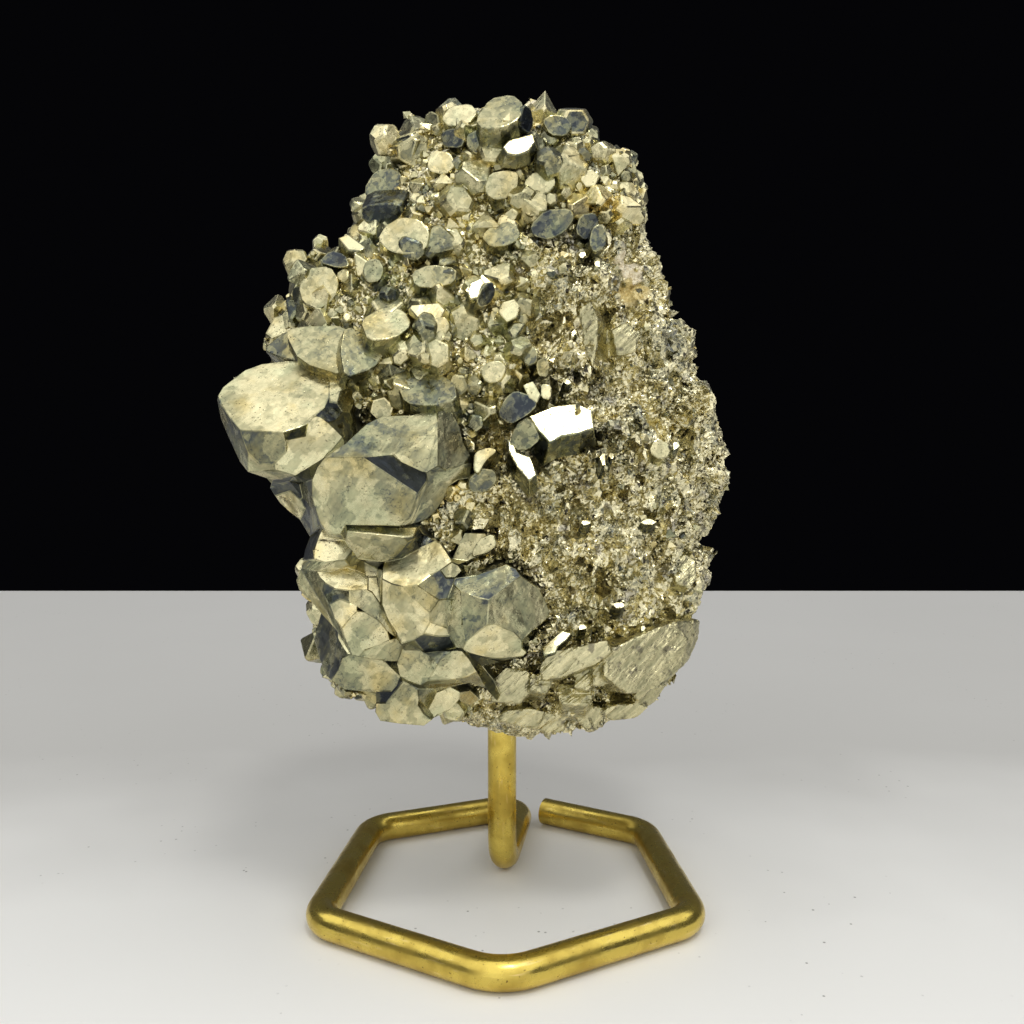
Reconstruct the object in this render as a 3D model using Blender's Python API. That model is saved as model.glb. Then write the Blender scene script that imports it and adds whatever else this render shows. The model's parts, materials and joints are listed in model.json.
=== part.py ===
"""A pyrite specimen on a stand bent from one brass wire.

Metres, +Z up. The origin is on the floor, under the middle of the whole object. The specimen is one natural
piece: a lump of massive pyrite with crystals grown on it, all fused. The stand is one wire: an open hexagon
that lies on the floor, a run back to its middle, and a stem that ends in a hole drilled into the specimen.
Places are written in millimetres from the foot of the stem.
"""

import math
import random
from typing import NamedTuple

import bmesh
import bpy
from mathutils import Matrix, Vector, noise

MM = 0.001
GAP = 0.3

# The foot of the stem, from the origin.
STEM_FOOT = (2.2, 4.4, 0.0)

# Wire stand. The corners are where its centre line would turn if the bends were sharp.
WIRE_RADIUS = 2.0
WIRE_RESOLUTION = 4
WIRE_SIDES = 2 * WIRE_RESOLUTION + 4
FREE_END = (6.6, 19.4)
HEXAGON = ((21.6, 10.8), (24.4, -16.2), (0.2, -29.9), (-23.2, -16.4), (-20.1, 12.2))
HEXAGON_BENDS = (5.0, 4.5, 7.0, 4.5, 5.0)
BACK_CORNER = (3.2, 21.6)
BACK_BEND = 3.0
STEM_BEND = 4.0
BEND_STEP = math.radians(20.0)
STEM_TOP = 34.0

# The drilled hole. It ends above the stem, which it clears all round. Its cutter starts below the specimen.
HOLE_RADIUS = WIRE_RADIUS + 0.4
HOLE_SIDES = 24
HOLE_LEAD = 10.0

# The lump of massive pyrite: height, left, right, front and back of each level section.
SECTIONS = (
    (22.5, 1.0, 14.0, -8.0, 8.0),
    (24.5, -9.0, 18.5, -11.0, 12.0),
    (28.5, -15.0, 22.5, -14.0, 15.0),
    (34.0, -18.5, 25.5, -16.5, 17.5),
    (42.0, -21.0, 27.0, -18.5, 19.0),
    (50.0, -22.5, 27.5, -19.0, 19.5),
    (57.0, -26.0, 30.0, -19.0, 19.5),
    (64.0, -28.0, 29.0, -18.5, 18.5),
    (72.0, -29.0, 26.0, -17.5, 17.0),
    (79.0, -28.0, 23.5, -15.5, 15.5),
    (84.0, -25.0, 21.0, -13.5, 14.0),
    (89.0, -19.5, 20.0, -12.0, 12.5),
    (94.0, -16.0, 18.5, -10.5, 11.0),
    (99.0, -12.5, 14.5, -9.0, 9.0),
    (102.5, -9.5, 10.5, -7.5, 6.5),
    (105.0, -5.0, 6.0, -5.5, 3.5),
)
RING_POINTS = 34
RING_STEP = 4.4
SQUARENESS = 2.5
# Length and depth of each wave of the lump's surface, and the share of it that moves a point up or down.
LUMP_WAVES = ((11.0, 1.2), (5.0, 1.0))
LUMP_RISE = 0.5
LUMP_RISE_SHIFT = Vector((40.0, 0.0, 0.0))
LUMP_ROUGHNESS = 1.0


class LargeCrystal(NamedTuple):
    """A crystal given by its centre, its outline and its facets.

    The outline is its rim, as the front shows it, level with its centre: each corner is (across, up). A
    facet is (azimuth, elevation, distance from the centre). Azimuth 0 faces the front, and 90 the right.
    Elevation is up from level. The root is how far it goes back into the lump.
    """

    name: str
    at: tuple
    root: float
    outline: tuple
    facets: tuple


class SmallCrystal(NamedTuple):
    """An octahedron with cut corners: its centre, half thickness, and where one of its faces points."""

    name: str
    at: tuple
    size: float
    azimuth: float = 0.0
    elevation: float = 0.0
    roll: float = 0.0


LARGE_CRYSTALS = (
    LargeCrystal(
        "great_left",
        (-26.0, -11.0, 63.5),
        7.0,
        (
            (-35.5, 67.5),
            (-33.5, 70.0),
            (-28.0, 72.5),
            (-22.5, 72.5),
            (-19.5, 63.5),
            (-21.5, 60.0),
            (-26.0, 57.5),
            (-29.0, 57.0),
            (-32.0, 58.5),
            (-34.0, 62.5),
        ),
        ((5, 45, 5.0), (-5, -20, 7.0), (-65, -20, 7.0), (60, -25, 4.5), (-5, -65, 6.5)),
    ),
    LargeCrystal(
        "great_middle",
        (-15.0, -17.0, 56.5),
        7.0,
        (
            (-22.5, 57.5),
            (-20.5, 60.5),
            (-14.5, 60.5),
            (-6.5, 58.5),
            (-5.5, 56.0),
            (-9.5, 52.5),
            (-13.5, 51.5),
            (-21.5, 51.5),
            (-22.5, 55.0),
        ),
        ((0, -15, 6.5), (35, 35, 7.5), (60, -20, 7.5), (0, -60, 6.0), (-50, -5, 8.5)),
    ),
    LargeCrystal(
        "great_middle_crown",
        (-9.0, -16.0, 59.5),
        7.0,
        (
            (-20.5, 60.5),
            (-17.5, 62.5),
            (-13.5, 65.0),
            (-7.5, 66.0),
            (-5.5, 65.0),
            (-3.0, 62.0),
            (-3.5, 59.5),
            (-6.0, 56.5),
        ),
        ((-5, 40, 6.0), (40, 35, 6.5), (65, -40, 4.0)),
    ),
    LargeCrystal(
        "ledge",
        (-16.0, -15.0, 49.5),
        7.0,
        ((-19.0, 52.0), (-15.0, 52.0), (-10.5, 51.5), (-13.5, 47.5), (-17.5, 47.5), (-18.5, 49.0)),
        ((10, -5, 8.0), (15, 65, 5.5)),
    ),
    LargeCrystal(
        "ledge_side",
        (-21.0, -13.0, 49.0),
        9.0,
        ((-22.5, 51.5), (-19.0, 50.0), (-18.5, 48.5), (-20.0, 47.0), (-23.0, 47.0), (-23.5, 49.0)),
        ((5, 25, 5.0), (105, 40, 0.5)),
    ),
    LargeCrystal(
        "low_left",
        (-19.5, -13.0, 41.5),
        8.0,
        (
            (-25.0, 46.5),
            (-18.5, 46.5),
            (-16.5, 45.0),
            (-13.5, 38.0),
            (-14.5, 37.0),
            (-18.0, 35.0),
            (-19.0, 35.0),
            (-23.0, 42.0),
        ),
        ((5, 45, 8.0), (-10, 5, 8.0), (10, -10, 8.0), (50, 15, 8.0), (-55, -5, 5.0)),
    ),
    LargeCrystal(
        "low_left_foot",
        (-19.0, -11.0, 33.0),
        9.0,
        (
            (-23.0, 39.5),
            (-15.5, 34.0),
            (-13.0, 32.0),
            (-14.5, 29.5),
            (-20.0, 29.5),
            (-22.0, 31.5),
            (-24.0, 36.5),
        ),
        ((10, -10, 5.5), (-45, 5, 5.0)),
    ),
    LargeCrystal(
        "low_middle",
        (-10.0, -18.0, 43.5),
        7.0,
        (
            (-14.0, 47.0),
            (-7.0, 50.0),
            (-6.0, 48.0),
            (-6.0, 43.0),
            (-6.5, 39.5),
            (-8.5, 38.0),
            (-12.0, 36.5),
            (-13.0, 37.0),
            (-14.5, 45.5),
        ),
        ((-5, 50, 7.0), (-10, 0, 8.0), (40, 20, 7.5), (10, -30, 8.5)),
    ),
    LargeCrystal(
        "low_right",
        (0.0, -16.0, 42.0),
        6.0,
        (
            (-5.5, 45.0),
            (-2.5, 46.5),
            (0.5, 47.0),
            (4.5, 44.5),
            (7.0, 40.5),
            (4.0, 36.0),
            (-1.0, 35.0),
            (-4.5, 36.5),
            (-6.0, 39.5),
        ),
        ((15, 40, 4.5), (-35, 0, 6.0), (-5, -35, 6.5)),
    ),
)
# The rims narrow to the front, towards a point far ahead of the specimen.
RIM_APEX = Vector((1.4, -140.0, 65.0))
ROOT_FACES = ((180, 0), (120, 0), (-120, 0), (180, 60), (180, -60))
# A crystal is cut from a cube this many times as wide as its farthest plane.
UNCUT_CUBE = 4.0

SMALL_CRYSTALS = (
    SmallCrystal("under_left", (-10.5, -17.0, 34.5), 1.9, 0, -10, 10),
    SmallCrystal("under_middle", (-5.5, -17.0, 35.0), 2.3, -10, -20, 45),
    SmallCrystal("lowest_left", (-12.5, -13.0, 29.0), 2.8, 0, -5, 20),
    SmallCrystal("lowest_middle", (-7.0, -13.0, 29.0), 1.9, 10, 5, 0),
    SmallCrystal("lowest_right", (-4.0, -12.0, 30.0), 1.3, 0, 10, 30),
    SmallCrystal("left_edge", (-27.0, -7.0, 54.0), 2.8, -20, -15, 30),
    SmallCrystal("left_cheek", (-18.5, -11.0, 67.0), 2.4, 20, 30, 0),
    SmallCrystal("left_chin", (-19.5, -12.0, 63.5), 1.9, 30, -10, 0),
    SmallCrystal("left_ridge", (-22.5, -6.0, 72.5), 5.2, -10, 30, 15),
    SmallCrystal("left_shoulder", (-24.5, -4.0, 82.5), 3.0, 5, 5, 10),
    SmallCrystal("dark_shoulder", (-15.0, -4.0, 93.5), 3.0, -20, 25, 0),
    SmallCrystal("pitted", (-12.0, -10.0, 87.0), 3.2, 5, 5, 20),
    SmallCrystal("crest", (-0.5, -6.0, 101.5), 3.5, -5, 30, 0),
    SmallCrystal("crest_left", (-7.0, -6.0, 100.5), 2.3, -10, -10, 0),
    SmallCrystal("under_crest", (-2.5, -9.0, 99.0), 1.8, 0, -20, 0),
    SmallCrystal("bright_top", (2.5, -11.0, 97.5), 1.9, 20, 35, 0),
    SmallCrystal("crest_right", (9.0, -5.0, 102.0), 2.3, 10, 0, 0),
    SmallCrystal("brow_left", (0.5, -12.5, 92.0), 2.1, 0, 5, 0),
    SmallCrystal("brow_middle", (5.5, -12.5, 93.0), 2.1, 0, 10, 20),
    SmallCrystal("brow_right", (11.0, -11.0, 93.5), 1.4, 0, 0, 0),
    SmallCrystal("dark_left", (6.0, -14.0, 88.0), 2.3, 10, -10, 20),
    SmallCrystal("dark_right", (11.0, -12.5, 87.0), 2.1, 10, -5, 10),
    SmallCrystal("brow_under", (0.0, -13.5, 87.0), 2.0, 0, 30, 0),
    SmallCrystal("cheek_a", (-16.0, -12.0, 82.5), 1.7, 0, 5, 0),
    SmallCrystal("cheek_b", (-8.5, -14.5, 81.5), 2.0, 0, -10, 0),
    SmallCrystal("cheek_c", (-13.5, -13.0, 77.0), 2.7, 0, 30, 0),
    SmallCrystal("cheek_d", (-7.0, -16.5, 76.0), 1.3, 0, 5, 0),
    SmallCrystal("cheek_e", (1.0, -16.0, 77.5), 1.3, 10, 10, 0),
    SmallCrystal("cheek_f", (-2.0, -17.0, 79.5), 1.6, 30, 0, 0),
    SmallCrystal("mouth_a", (-7.5, -17.0, 72.0), 2.3, 0, 25, 0),
    SmallCrystal("mouth_b", (-8.5, -19.0, 67.0), 3.0, -5, 35, 0),
    SmallCrystal("mouth_c", (-14.0, -16.5, 66.0), 1.8, 0, 0, 0),
    SmallCrystal("dark_middle", (2.5, -20.0, 65.5), 2.3, -10, 0, 0),
    SmallCrystal("mirror", (7.5, -18.5, 63.5), 3.6, 5, 30, 10),
    SmallCrystal("mirror_low", (3.0, -20.0, 60.0), 2.3, -10, 20, 0),
    SmallCrystal("right_edge", (27.0, -2.0, 45.0), 2.6, -20, 20, 0),
)
CORNER_CUT = 1.12
CRUST_CORNER_CUT = 1.6

# Crystals of the crust and broken ledges of the massive sides, strewn over the lump by a fixed seed. Their
# angles run round the lump in degrees, from 0 at the right to 90 at the back. Every third crystal of the
# crust is at the back.
SEED = 7
CRUST_COUNT = 56
CRUST_HEIGHTS = (56.0, 102.0)
CRUST_ANGLES = (-205, -70)
CRUST_BACK_ANGLES = (90, 180)
CRUST_SIZES = (1.5, 2.6)
LEDGE_COUNT = 74
LEDGE_HEIGHTS = (25.0, 97.0)
LEDGE_ANGLES = (-95, 150)
LEDGE_SIZES = (2.4, 4.6)
LEDGE_FLATNESS = (0.45, 1.0)
LEDGE_SKEW = 0.25
LEDGE_SINK = 0.65

PYRITE_COLOUR = (0.62, 0.56, 0.38)
BRASS_COLOUR = (0.75, 0.55, 0.2)
METAL_ROUGHNESS = 0.3


def direction(azimuth, elevation):
    """Unit vector at an azimuth, 0 to the front and 90 to the right, and an elevation, both in degrees."""
    turn, rise = math.radians(azimuth), math.radians(elevation)
    return Vector((math.sin(turn) * math.cos(rise), -math.cos(turn) * math.cos(rise), math.sin(rise)))


def solid_of_planes(name, planes, centre):
    """A convex solid: a cube cut by each plane, given as (normal, distance from the centre)."""
    block = bmesh.new()
    bmesh.ops.create_cube(block, size=UNCUT_CUBE * max(distance for _, distance in planes))
    for normal, distance in planes:
        everything = block.verts[:] + block.edges[:] + block.faces[:]
        cut = bmesh.ops.bisect_plane(
            block, geom=everything, plane_co=normal * distance, plane_no=normal, clear_outer=True
        )
        rim = [item for item in cut["geom_cut"] if isinstance(item, bmesh.types.BMEdge)]
        if rim:
            bmesh.ops.contextual_create(block, geom=rim)
    bmesh.ops.translate(block, vec=centre, verts=block.verts)
    return finish_mesh(name, block)


def finish_mesh(name, block):
    """Write a bmesh that is in millimetres as an object in metres."""
    bmesh.ops.scale(block, vec=(MM, MM, MM), verts=block.verts)
    bmesh.ops.recalc_face_normals(block, faces=block.faces)
    mesh = bpy.data.meshes.new(name)
    block.to_mesh(mesh)
    block.free()
    return bpy.data.objects.new(name, mesh)


def rim_planes(crystal):
    """The planes of a crystal's rim: one through each side of its outline, towards the rims' apex."""
    centre = Vector(crystal.at)
    corners = [Vector((across, centre.y, up)) for across, up in crystal.outline]
    planes = []
    for first, second in zip(corners, corners[1:] + corners[:1]):
        normal = (first - RIM_APEX).cross(second - RIM_APEX).normalized()
        if normal.dot(first - centre) < 0:
            normal.negate()
        planes.append((normal, normal.dot(first - centre)))
    return planes


def large_crystal(crystal):
    """A crystal with its own facets in front, its rim round them, and plain planes behind."""
    planes = [(direction(azimuth, rise), distance) for azimuth, rise, distance in crystal.facets]
    planes += rim_planes(crystal)
    planes += [(direction(azimuth, rise), crystal.root) for azimuth, rise in ROOT_FACES]
    return solid_of_planes(crystal.name, planes, Vector(crystal.at))


def octahedron_planes(size, turn, corner_cut=CORNER_CUT):
    """Eight faces at the size from the centre, and six small ones that cut the corners, further out."""
    planes = []
    for x in (-1, 1):
        for y in (-1, 1):
            for z in (-1, 1):
                planes.append((turn @ Vector((x, y, z)).normalized(), size))
    for axis in range(3):
        for side in (-1, 1):
            corner = Vector((0, 0, 0))
            corner[axis] = side
            planes.append((turn @ corner, size * corner_cut))
    return planes


def small_crystal(crystal):
    """An octahedron with cut corners, one face of which points where the crystal says."""
    facing = direction(crystal.azimuth, crystal.elevation)
    turn = Vector((1, 1, 1)).rotation_difference(facing).to_matrix()
    turn = Matrix.Rotation(math.radians(crystal.roll), 3, facing) @ turn
    return solid_of_planes(crystal.name, octahedron_planes(crystal.size, turn), Vector(crystal.at))


def section_at(height):
    """Left, right, front and back of the lump at a height."""
    for low, high in zip(SECTIONS, SECTIONS[1:]):
        if height <= high[0]:
            share = max(0.0, (height - low[0]) / (high[0] - low[0]))
            return [a + (b - a) * share for a, b in zip(low[1:], high[1:])]
    return SECTIONS[-1][1:]


def point_on_lump(height, angle):
    """The point of the lump's squared oval at a height. Angle 0 is the right side, 90 degrees the back."""
    left, right, front, back = section_at(height)
    across, deep = math.cos(angle), math.sin(angle)
    x = math.copysign(abs(across) ** (2.0 / SQUARENESS), across)
    y = math.copysign(abs(deep) ** (2.0 / SQUARENESS), deep)
    return Vector(((left + right + x * (right - left)) / 2, (front + back + y * (back - front)) / 2, height))


def lump(dice):
    """The rough lump: rings of points over its sections, closed below and above, and pushed in and out."""
    low, high = SECTIONS[0][0], SECTIONS[-1][0]
    steps = round((high - low) / RING_STEP)
    block = bmesh.new()
    rings = []
    for step in range(steps + 1):
        height = low + (high - low) * step / steps
        ring = []
        for number in range(RING_POINTS):
            point = point_on_lump(height, math.tau * (number + 0.5 * (step % 2)) / RING_POINTS)
            outward = Vector((point.x, point.y, 0)).normalized()
            for length, depth in LUMP_WAVES:
                point += outward * depth * noise.noise(point / length)
                point.z += LUMP_RISE * depth * noise.noise(point / length + LUMP_RISE_SHIFT)
            point += outward * dice.uniform(-LUMP_ROUGHNESS, LUMP_ROUGHNESS)
            ring.append(block.verts.new(point))
        rings.append(ring)
    for step, (below, above) in enumerate(zip(rings, rings[1:])):
        for number in range(RING_POINTS):
            following = (number + 1) % RING_POINTS
            if step % 2:
                block.faces.new((below[number], above[following], above[number]))
                block.faces.new((below[number], below[following], above[following]))
            else:
                block.faces.new((below[number], below[following], above[number]))
                block.faces.new((below[following], above[following], above[number]))
    for ring in (rings[0], rings[-1]):
        middle = block.verts.new(sum((vertex.co for vertex in ring), Vector()) / RING_POINTS)
        for number in range(RING_POINTS):
            block.faces.new((ring[number], ring[(number + 1) % RING_POINTS], middle))
    return finish_mesh("pyrite_cluster", block)


def any_turn(dice):
    """A rotation that may point any way."""
    axis = Vector([dice.gauss(0, 1) for _ in range(3)]).normalized()
    return Matrix.Rotation(dice.uniform(0, math.tau), 3, axis)


def crust(dice):
    """The crystals of the crust, on the front, the left side and the back of the upper half."""
    made = []
    for number in range(CRUST_COUNT):
        height = dice.uniform(*CRUST_HEIGHTS)
        angles = CRUST_ANGLES if number % 3 else CRUST_BACK_ANGLES
        angle = math.radians(dice.uniform(*angles))
        planes = octahedron_planes(dice.uniform(*CRUST_SIZES), any_turn(dice), CRUST_CORNER_CUT)
        made.append(solid_of_planes(f"crust_{number}", planes, point_on_lump(height, angle)))
    return made


def ledges(dice):
    """Angular blocks that stand proud of the right side, the foot and the back, where it is massive."""
    made = []
    for number in range(LEDGE_COUNT):
        height = dice.uniform(*LEDGE_HEIGHTS)
        angle = math.radians(dice.uniform(*LEDGE_ANGLES))
        size = dice.uniform(*LEDGE_SIZES)
        turn = any_turn(dice)
        planes = []
        for axis in range(3):
            for side in (-1, 1):
                way = Vector([LEDGE_SKEW * dice.uniform(-1, 1) for _ in range(3)])
                way[axis] = side
                planes.append((turn @ way.normalized(), size * dice.uniform(*LEDGE_FLATNESS)))
        point = point_on_lump(height, angle)
        inward = Vector((point.x, point.y, 0)).normalized() * size * LEDGE_SINK
        made.append(solid_of_planes(f"ledge_{number}", planes, point - inward))
    return made


def rounded_route(corners, radii):
    """The corners' path with an arc of each radius at each inner corner."""
    route = [corners[0]]
    for before, corner, after, radius in zip(corners, corners[1:], corners[2:], radii):
        arrive, leave = (corner - before).normalized(), (after - corner).normalized()
        bend = arrive.angle(leave)
        axis = arrive.cross(leave).normalized()
        start = corner - arrive * radius * math.tan(bend / 2)
        centre = start + axis.cross(arrive) * radius
        steps = max(2, math.ceil(bend / BEND_STEP))
        for step in range(steps + 1):
            route.append(centre + Matrix.Rotation(bend * step / steps, 3, axis) @ (start - centre))
    route.append(corners[-1])
    return route


def wire_stand():
    """The bent wire, as a round tube with one of its flats on the floor."""
    level = WIRE_RADIUS * math.cos(math.pi / WIRE_SIDES)
    corners = [Vector((*point, level)) for point in (FREE_END, *HEXAGON, BACK_CORNER)]
    corners += [Vector((0, 0, level)), Vector((0, 0, STEM_TOP))]
    route = rounded_route(corners, (*HEXAGON_BENDS, BACK_BEND, STEM_BEND))
    curve = bpy.data.curves.new("wire_stand", "CURVE")
    curve.dimensions = "3D"
    curve.twist_mode = "MINIMUM"
    curve.bevel_depth = WIRE_RADIUS * MM
    curve.bevel_resolution = WIRE_RESOLUTION
    curve.use_fill_caps = True
    spline = curve.splines.new("POLY")
    spline.points.add(len(route) - 1)
    for point, place in zip(spline.points, route):
        point.co = (*(place * MM), 1.0)
        point.tilt = math.pi / WIRE_SIDES
    return bpy.data.objects.new("wire_stand", curve)


def stem_hole():
    """The cutter for the drilled hole, from below the specimen to just past the stem's end."""
    block = bmesh.new()
    bottom, top = SECTIONS[0][0] - HOLE_LEAD, STEM_TOP + GAP
    bmesh.ops.create_cone(
        block,
        cap_ends=True,
        segments=HOLE_SIDES,
        radius1=HOLE_RADIUS,
        radius2=HOLE_RADIUS,
        depth=top - bottom,
    )
    bmesh.ops.translate(block, vec=(0, 0, (top + bottom) / 2), verts=block.verts)
    return finish_mesh("stem_hole", block)


def metal(name, colour):
    """A plain metal of one colour."""
    made = bpy.data.materials.new(name)
    made.use_nodes = True
    shader = made.node_tree.nodes["Principled BSDF"]
    shader.inputs["Base Color"].default_value = (*colour, 1.0)
    shader.inputs["Metallic"].default_value = 1.0
    shader.inputs["Roughness"].default_value = METAL_ROUGHNESS
    made.diffuse_color = (*colour, 1.0)
    return made


def collection(name, objects, helper=False):
    """Put objects in a new collection of the scene. Helpers are hidden from renders and drawn as wire."""
    made = bpy.data.collections.new(name)
    bpy.context.scene.collection.children.link(made)
    for thing in objects:
        made.objects.link(thing)
        if helper:
            thing.hide_render = True
            thing.display_type = "WIRE"
    return made


def boolean(thing, name, operation):
    """Add an exact Boolean modifier."""
    modifier = thing.modifiers.new(name, "BOOLEAN")
    modifier.operation = operation
    modifier.solver = "EXACT"
    return modifier


def main():
    """Build the specimen and its stand in an empty scene."""
    for thing in list(bpy.data.objects):
        bpy.data.objects.remove(thing)

    dice = random.Random(SEED)
    cluster = lump(dice)
    crystals = [large_crystal(crystal) for crystal in LARGE_CRYSTALS]
    crystals += [small_crystal(crystal) for crystal in SMALL_CRYSTALS]
    crystals += crust(dice) + ledges(dice)
    hole = stem_hole()
    wire = wire_stand()

    grown = boolean(cluster, "crystals", "UNION")
    grown.operand_type = "COLLECTION"
    grown.collection = collection("crystals", crystals, helper=True)
    boolean(cluster, "stem hole", "DIFFERENCE").object = hole
    collection("cutters", [hole], helper=True)

    cluster.data.materials.append(metal("pyrite", PYRITE_COLOUR))
    wire.data.materials.append(metal("brass", BRASS_COLOUR))

    foot = bpy.data.objects.new("stem_foot", None)
    foot.location = Vector(STEM_FOOT) * MM
    collection("pyrite_specimen", [cluster, wire, foot])
    for thing in (cluster, wire, hole, *crystals):
        thing.parent = foot


main()
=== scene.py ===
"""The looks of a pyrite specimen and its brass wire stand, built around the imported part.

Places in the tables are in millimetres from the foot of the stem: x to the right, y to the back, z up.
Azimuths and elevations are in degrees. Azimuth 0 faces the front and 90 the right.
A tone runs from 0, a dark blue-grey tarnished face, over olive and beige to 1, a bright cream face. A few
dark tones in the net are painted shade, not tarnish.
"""

import json
import logging
import math
import random
from dataclasses import dataclass
from enum import Enum

import bmesh
import bpy
import numpy as np
from mathutils import Matrix, Vector, noise

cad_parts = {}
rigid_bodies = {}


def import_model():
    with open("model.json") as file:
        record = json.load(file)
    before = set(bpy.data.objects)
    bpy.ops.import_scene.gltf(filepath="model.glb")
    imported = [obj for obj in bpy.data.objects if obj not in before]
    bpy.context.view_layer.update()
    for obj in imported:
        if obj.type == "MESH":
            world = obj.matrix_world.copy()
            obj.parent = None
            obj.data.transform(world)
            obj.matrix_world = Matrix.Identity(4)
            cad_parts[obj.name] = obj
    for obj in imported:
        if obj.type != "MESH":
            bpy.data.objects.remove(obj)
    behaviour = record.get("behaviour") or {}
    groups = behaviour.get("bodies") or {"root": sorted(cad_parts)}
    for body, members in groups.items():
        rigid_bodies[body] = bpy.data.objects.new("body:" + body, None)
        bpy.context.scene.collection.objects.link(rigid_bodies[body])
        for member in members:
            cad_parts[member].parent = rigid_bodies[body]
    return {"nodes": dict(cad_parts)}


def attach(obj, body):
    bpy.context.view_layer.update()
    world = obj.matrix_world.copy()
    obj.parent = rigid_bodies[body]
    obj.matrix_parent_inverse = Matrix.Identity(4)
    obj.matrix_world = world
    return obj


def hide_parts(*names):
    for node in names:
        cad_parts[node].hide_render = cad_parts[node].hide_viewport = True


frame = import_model()

LOG = logging.getLogger("pyrite_specimen")
MM = 0.001
STEM_FOOT = Vector((2.2, 4.4, 0.0))

CLUSTER = "pyrite_cluster"
STAND = "wire_stand"
BODY = "root"

Plane = tuple[Vector, float]


# ---------------------------------------------------------------------------------------- tables


@dataclass(frozen=True)
class Sight:
    """The camera, and how places lie in its square frame: across from the left edge and down from the top."""

    eye: tuple[float, float, float] = (1.4, -140.0, 65.0)
    pitch: float = 5.3
    frame: float = 1024.0

    def ray(self, across: float, down: float) -> Vector:
        """Give the way from the eye through a spot in the frame."""
        slope = math.radians(self.pitch)
        ahead = Vector((0.0, math.cos(slope), -math.sin(slope)))
        above = Vector((0.0, math.sin(slope), math.cos(slope)))
        return ahead + Vector((across / self.frame - 0.5, 0, 0)) + above * (0.5 - down / self.frame)

    def place(self, across: float, down: float, depth: float) -> Vector:
        """Give the place at a depth that shows at a spot in the frame."""
        ray = self.ray(across, down)
        return Vector(self.eye) + ray * (depth - self.eye[1]) / ray.y

    def on_plane(self, across: float, down: float, point: Vector, facing: Vector) -> Vector:
        """Give the place on a plane that shows at a spot in the frame."""
        ray = self.ray(across, down)
        return Vector(self.eye) + ray * ((point - Vector(self.eye)).dot(facing) / ray.dot(facing))

    def seen(self, places: np.ndarray) -> tuple[np.ndarray, np.ndarray]:
        """Give how far across and down the frame each place shows."""
        slope = math.radians(self.pitch)
        away = places - np.array(self.eye)
        far = away[:, 1] * math.cos(slope) - away[:, 2] * math.sin(slope)
        high = away[:, 1] * math.sin(slope) + away[:, 2] * math.cos(slope)
        return self.frame * (0.5 + away[:, 0] / far), self.frame * (0.5 - high / far)


SIGHT = Sight()


@dataclass(frozen=True)
class NamedCrystal:
    """An octahedron with cut corners: centre, half thickness, where one face points, roll, and tone.

    It has no tone where crystals with facets of their own take its place.
    """

    at: tuple[float, float, float]
    size: float
    azimuth: float
    elevation: float
    roll: float
    tone: float | None
    cut: float = 1.12


@dataclass(frozen=True)
class Facet:
    """A crystal or block known by the one facet that it shows.

    The outline is across and down in the frame of SIGHT. The middle stands proud of the lump's front, and the
    sides spread out behind it by the flare.
    """

    outline: tuple[tuple[float, float], ...]
    proud: float
    azimuth: float
    elevation: float
    tone: float
    thickness: float = 3.0
    flare: float = 0.3

    def middle(self) -> Vector:
        """Find where the facet's middle is."""
        across = sum(x for x, _ in self.outline) / len(self.outline)
        down = sum(y for _, y in self.outline) / len(self.outline)
        return on_front(across, down, self.proud)

    def worn(self, share: float) -> list[tuple[float, float]]:
        """Give the outline with each corner cut at a share of the way along its sides."""
        if not share:
            return list(self.outline)
        cut = []
        for (x1, y1), (x2, y2) in zip(self.outline, self.outline[1:] + self.outline[:1]):
            cut.append((x1 + (x2 - x1) * share, y1 + (y2 - y1) * share))
            cut.append((x2 + (x1 - x2) * share, y2 + (y1 - y2) * share))
        return cut

    def shell(self, corner: float) -> bmesh.types.BMesh:
        """Build the facet with its sides and its back, as a closed mesh whose corners are cut by a share."""
        facing = direction(self.azimuth, self.elevation)
        middle = self.middle()
        block = bmesh.new()
        front, back = [], []
        for across, down in self.worn(corner):
            point = SIGHT.on_plane(across, down, middle, facing)
            front.append(block.verts.new(point))
            wide = middle + (point - middle) * (1.0 + self.flare) - facing * self.thickness
            back.append(block.verts.new(wide))
        block.faces.new(front)
        block.faces.new(back[::-1])
        for number, (one, two) in enumerate(zip(front, back)):
            following = (number + 1) % len(front)
            block.faces.new((one, two, back[following], front[following]))
        bmesh.ops.recalc_face_normals(block, faces=block.faces)
        return block


@dataclass(frozen=True)
class Groove:
    """A crack or recess on the front: its ends in the frame of SIGHT, and its half width and depth."""

    start: tuple[float, float]
    end: tuple[float, float]
    width: float
    depth: float


@dataclass(frozen=True)
class Flash:
    """A small facet that mirrors the lamp: its middle and its half width and height in the frame of SIGHT."""

    across: float
    down: float
    wide: float
    high: float


@dataclass(frozen=True)
class Patch:
    """A patch of the rock that the pyrite grew on: its centre and reach."""

    at: tuple[float, float, float]
    reach: float


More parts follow.
